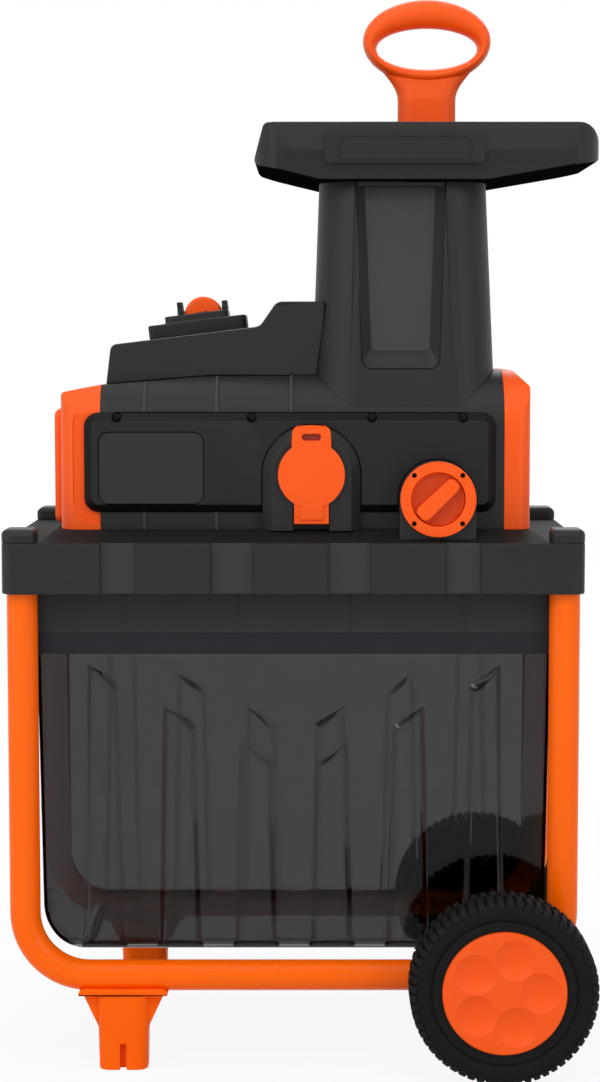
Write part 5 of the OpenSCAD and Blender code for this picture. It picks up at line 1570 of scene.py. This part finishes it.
def in_chute_channel(centre: Vector, normal: Vector) -> bool:
    """Tell whether a face lies on the floor of the chute's front channel.

    Args:
        centre: Middle of the face.
        normal: Normal of the face.

    Returns:
        Whether it does.
    """
    low, high = node_box("hopper_chute")
    share = (high.z - centre.z) / (high.z - low.z)
    front = CHUTE_FRONT - CHUTE_LEAN * share
    return normal.y < -SQUARE_ON and front + CHANNEL_FLOOR[0] < centre.y < front + CHANNEL_FLOOR[1]


CASTINGS = [
    # The tray's upward faces are painted a darker, less glossy black: painted shade on the deck.
    Casting("tray_shell", "base_tray", Finish.BLACK_PLASTIC, edge=0.0012, split=faces_down,
            paints=((Finish.TRAY_BLACK, in_tray_recess), (Finish.DECK_SHADE_BLACK, faces_up))),
    Casting("corner_shells", "corner_caps", Finish.BLACK_PLASTIC),
    *(Casting(f"{end.value}_skirt_shell", f"{end.value}_skirt", Finish.DARK_PLASTIC, edge=0.0004)
      for end in End),
    *(Casting(f"{end.value}_rail", f"{end.value}_runner", Finish.BAND_PLASTIC, edge=0.0006) for end in End),
    # The housing's ribs are painted a paler black: a painted highlight along them.
    *(Casting(f"housing_{end.value}_shell", f"housing_{end.value}", Finish.BLACK_PLASTIC, edge=0.0004,
              paints=((Finish.PAINTED_LIGHT_BLACK, on_housing_rib),)) for end in End),
    LeftCap(),
    Casting("right_cap_shell", "right_end_cap", Finish.ORANGE_PLASTIC),
    # The panel's sloping rim is painted a darker black: painted shade.
    Casting("panel_shell", "front_panel", Finish.PANEL_BLACK,
            paints=((Finish.RIM_SHADE_BLACK, on_panel_rim), (Finish.DARK_PLASTIC, in_label_recess))),
    Casting("inlet_shell", "inlet_boss", Finish.BLACK_PLASTIC),
    Casting("knob_shell", "knob_boss", Finish.BLACK_PLASTIC),
    Casting("switch_shell", "switch_cover", Finish.BLACK_PLASTIC, edge=0.0014),
    Casting("switch_block", "switch_base", Finish.BLACK_PLASTIC, edge=0.0014),
    SwitchGuard(),
    # The floor of the chute's channel is painted a paler black: painted light.
    Casting("chute_shell", "hopper_chute", Finish.BLACK_PLASTIC, plug=CHANNEL_PLUG,
            paints=((Finish.PAINTED_LIGHT_BLACK, in_chute_channel),)),
    # The funnel's downward faces are painted near black with no gloss: painted shade under it.
    Casting("funnel_shell", "hopper_funnel", Finish.BLACK_PLASTIC, edge=0.001,
            paints=((Finish.UNDERSIDE_SHADE_BLACK, faces_down),)),
]

CAD_FINISH = {
    Finish.STEEL: ("axle", "axle_retainers", "inlet_pins", "flap_pin", "adjust_screw", "drum_plates",
                   "drum_bearings", "drum_shaft", "gear_plate", "idler_shaft", "motor_can", "motor_bearings"),
    Finish.TOOL_STEEL: ("anvil", "cutting_drum", "drum_gear", "idler_gear", "motor_pinion", "motor_rotor"),
    Finish.COPPER: ("motor_stator",),
    Finish.BLACK_PLASTIC: ("axle_spacers", "motor_fan"),
    # The wheels' rims are painted a darker black: painted shade between tyre and hub cap.
    Finish.RIM_SHADE_BLACK: ("front_rim", "rear_rim"),
    Finish.DARK_PLASTIC: ("anvil_bed", "motor_cradles"),
}


def dress_cad_nodes() -> None:
    """Give every CAD node that stays in view its finish."""
    for finish, nodes in CAD_FINISH.items():
        for node in nodes:
            for slot in frame["nodes"][node].material_slots:
                slot.material = finish.material()
            log.info("%s: %s", node, finish.name)


@dataclass(frozen=True)
class Lamp:
    """Soft lamp that looks at the middle of the machine, with its power in watts."""

    name: str
    place: tuple[float, float, float]
    size: Span
    power: float
    target: tuple[float, float, float] = (0.0, 0.0, 0.5)

    def build(self) -> None:
        """Hang the lamp."""
        data = bpy.data.lights.new(self.name, "AREA")
        data.shape = "RECTANGLE"
        data.size, data.size_y = self.size
        data.energy = self.power
        lamp = bpy.data.objects.new(self.name, data)
        lamp.location = self.place
        look = Vector(self.target) - Vector(self.place)
        lamp.rotation_euler = look.to_track_quat("-Z", "Y").to_euler()
        bpy.context.scene.collection.objects.link(lamp)


LAMPS = (
    Lamp("key_lamp", (-1.6, -2.2, 2.2), (1.8, 1.8), 28.0),
    Lamp("fill_lamp", (1.9, -2.0, 1.3), (1.8, 1.8), 16.0),
    Lamp("back_lamp", (0.4, 2.2, 2.3), (1.6, 1.6), 24.0),
    Lamp("top_lamp", (0.0, -0.2, 2.8), (1.6, 1.6), 14.0),
    Lamp("level_strip", (0.0, -1.5, 1.9), (1.4, 0.05), 4.5),
    Lamp("upright_strip", (-1.9, -1.0, 0.6), (0.05, 1.4), 4.5),
)


@dataclass
class Studio:
    """Pale floor and white surround."""

    floor_size: float = 24.0
    floor_drop: float = 0.0005
    floor_grey: float = 0.85
    floor_rough: float = 0.9
    shadow_near: float = 0.25
    shadow_far: float = 1.1
    white_near: float = 0.90
    white_far: float = 1.0
    sky: float = 0.45
    sky_lift: float = 0.55

    def build(self) -> None:
        """Lay the floor, light the surround and hang the lamps."""
        self.floor()
        self.surround()
        for lamp in LAMPS:
            lamp.build()

    @staticmethod
    def sees_white(wiring: Wiring) -> Socket:
        """Return 1 for the rays that should meet a white surround.

        Args:
            wiring: The shader tree that asks.

        Returns:
            The answer's socket.
        """
        path = wiring.node("ShaderNodeLightPath")
        seen = wiring.maths("MAXIMUM", path.outputs["Is Camera Ray"], path.outputs["Is Glossy Ray"])
        return wiring.maths("MAXIMUM", seen, path.outputs["Is Transmission Ray"])

    def floor(self) -> None:
        """Lay a floor that looks white and keeps the machine's shadow."""
        Blank.clear()
        bpy.ops.mesh.primitive_plane_add(size=self.floor_size, location=(0, 0, -self.floor_drop))
        floor = bpy.context.object
        floor.name = "studio_floor"
        material = bpy.data.materials.new("studio_floor")
        material.use_nodes = True
        nodes = material.node_tree.nodes
        wiring = Wiring(material.node_tree)
        shader = wiring.fill(nodes["Principled BSDF"], Base_Color=(*grey(self.floor_grey), 1.0),
                             Roughness=self.floor_rough)
        glow = wiring.node("ShaderNodeEmission", Strength=1.0)
        away = wiring.node("ShaderNodeVectorMath")
        away.operation = "LENGTH"
        wiring.feed(wiring.node("ShaderNodeTexCoord").outputs["Object"], away.inputs[0])
        fade = wiring.node("ShaderNodeMapRange", Value=away.outputs["Value"], From_Min=self.shadow_near,
                           From_Max=self.shadow_far, To_Min=self.white_near, To_Max=self.white_far)
        share = wiring.maths("MULTIPLY", self.sees_white(wiring), fade.outputs["Result"])
        mixed = wiring.node("ShaderNodeMixShader")
        for value, socket in zip((share, shader.outputs[0], glow.outputs[0]), mixed.inputs):
            wiring.feed(value, socket)
        wiring.fill(nodes["Material Output"], Surface=mixed.outputs[0])
        floor.data.materials.append(material)

    def surround(self) -> None:
        """Set a soft grey sky that looks white."""
        world = bpy.data.worlds.new("studio")
        world.use_nodes = True
        bpy.context.scene.world = world
        wiring = Wiring(world.node_tree)
        lift = wiring.maths("MULTIPLY", self.sees_white(wiring), self.sky_lift)
        wiring.fill(world.node_tree.nodes["Background"], Color=(1.0, 1.0, 1.0, 1.0),
                    Strength=wiring.maths("ADD", lift, self.sky))


@dataclass
class PhotoCamera:
    """Camera at the photograph's viewing angle."""

    place: tuple[float, float, float] = (0.009, -2.035, 0.596)
    tilt: float = 4.85
    sensor: float = 36.0
    lens: float = 78.9
    shift: float = -0.0139

    def build(self) -> None:
        """Set up the camera and the view."""
        data = bpy.data.cameras.new("photo_camera")
        data.sensor_width = self.sensor
        data.lens = self.lens
        data.shift_x = self.shift
        camera = bpy.data.objects.new("photo_camera", data)
        camera.location = self.place
        camera.rotation_euler = (math.radians(90 - self.tilt), 0, 0)
        bpy.context.scene.collection.objects.link(camera)
        bpy.context.scene.camera = camera
        bpy.context.scene.view_settings.view_transform = "Standard"


def main() -> None:
    """Build the machine's pieces in order, then the studio and the camera."""
    logging.basicConfig(level=logging.INFO, format="%(name)s: %(message)s")
    assemblies = [
        *(TubeFrame(end) for end in End),
        *(Wheel(end) for end in End),
        *(Foot(end) for end in End),
        Bin(), Pusher(), InletFlap(), Adjuster(), Screws(), Rocker(), BarePlate(),
        *CASTINGS,
    ]
    for assembly in assemblies:
        assembly.build()
    dress_cad_nodes()
    Studio().build()
    PhotoCamera().build()
    Blank.clear()


if __name__ == "__main__":
    main()
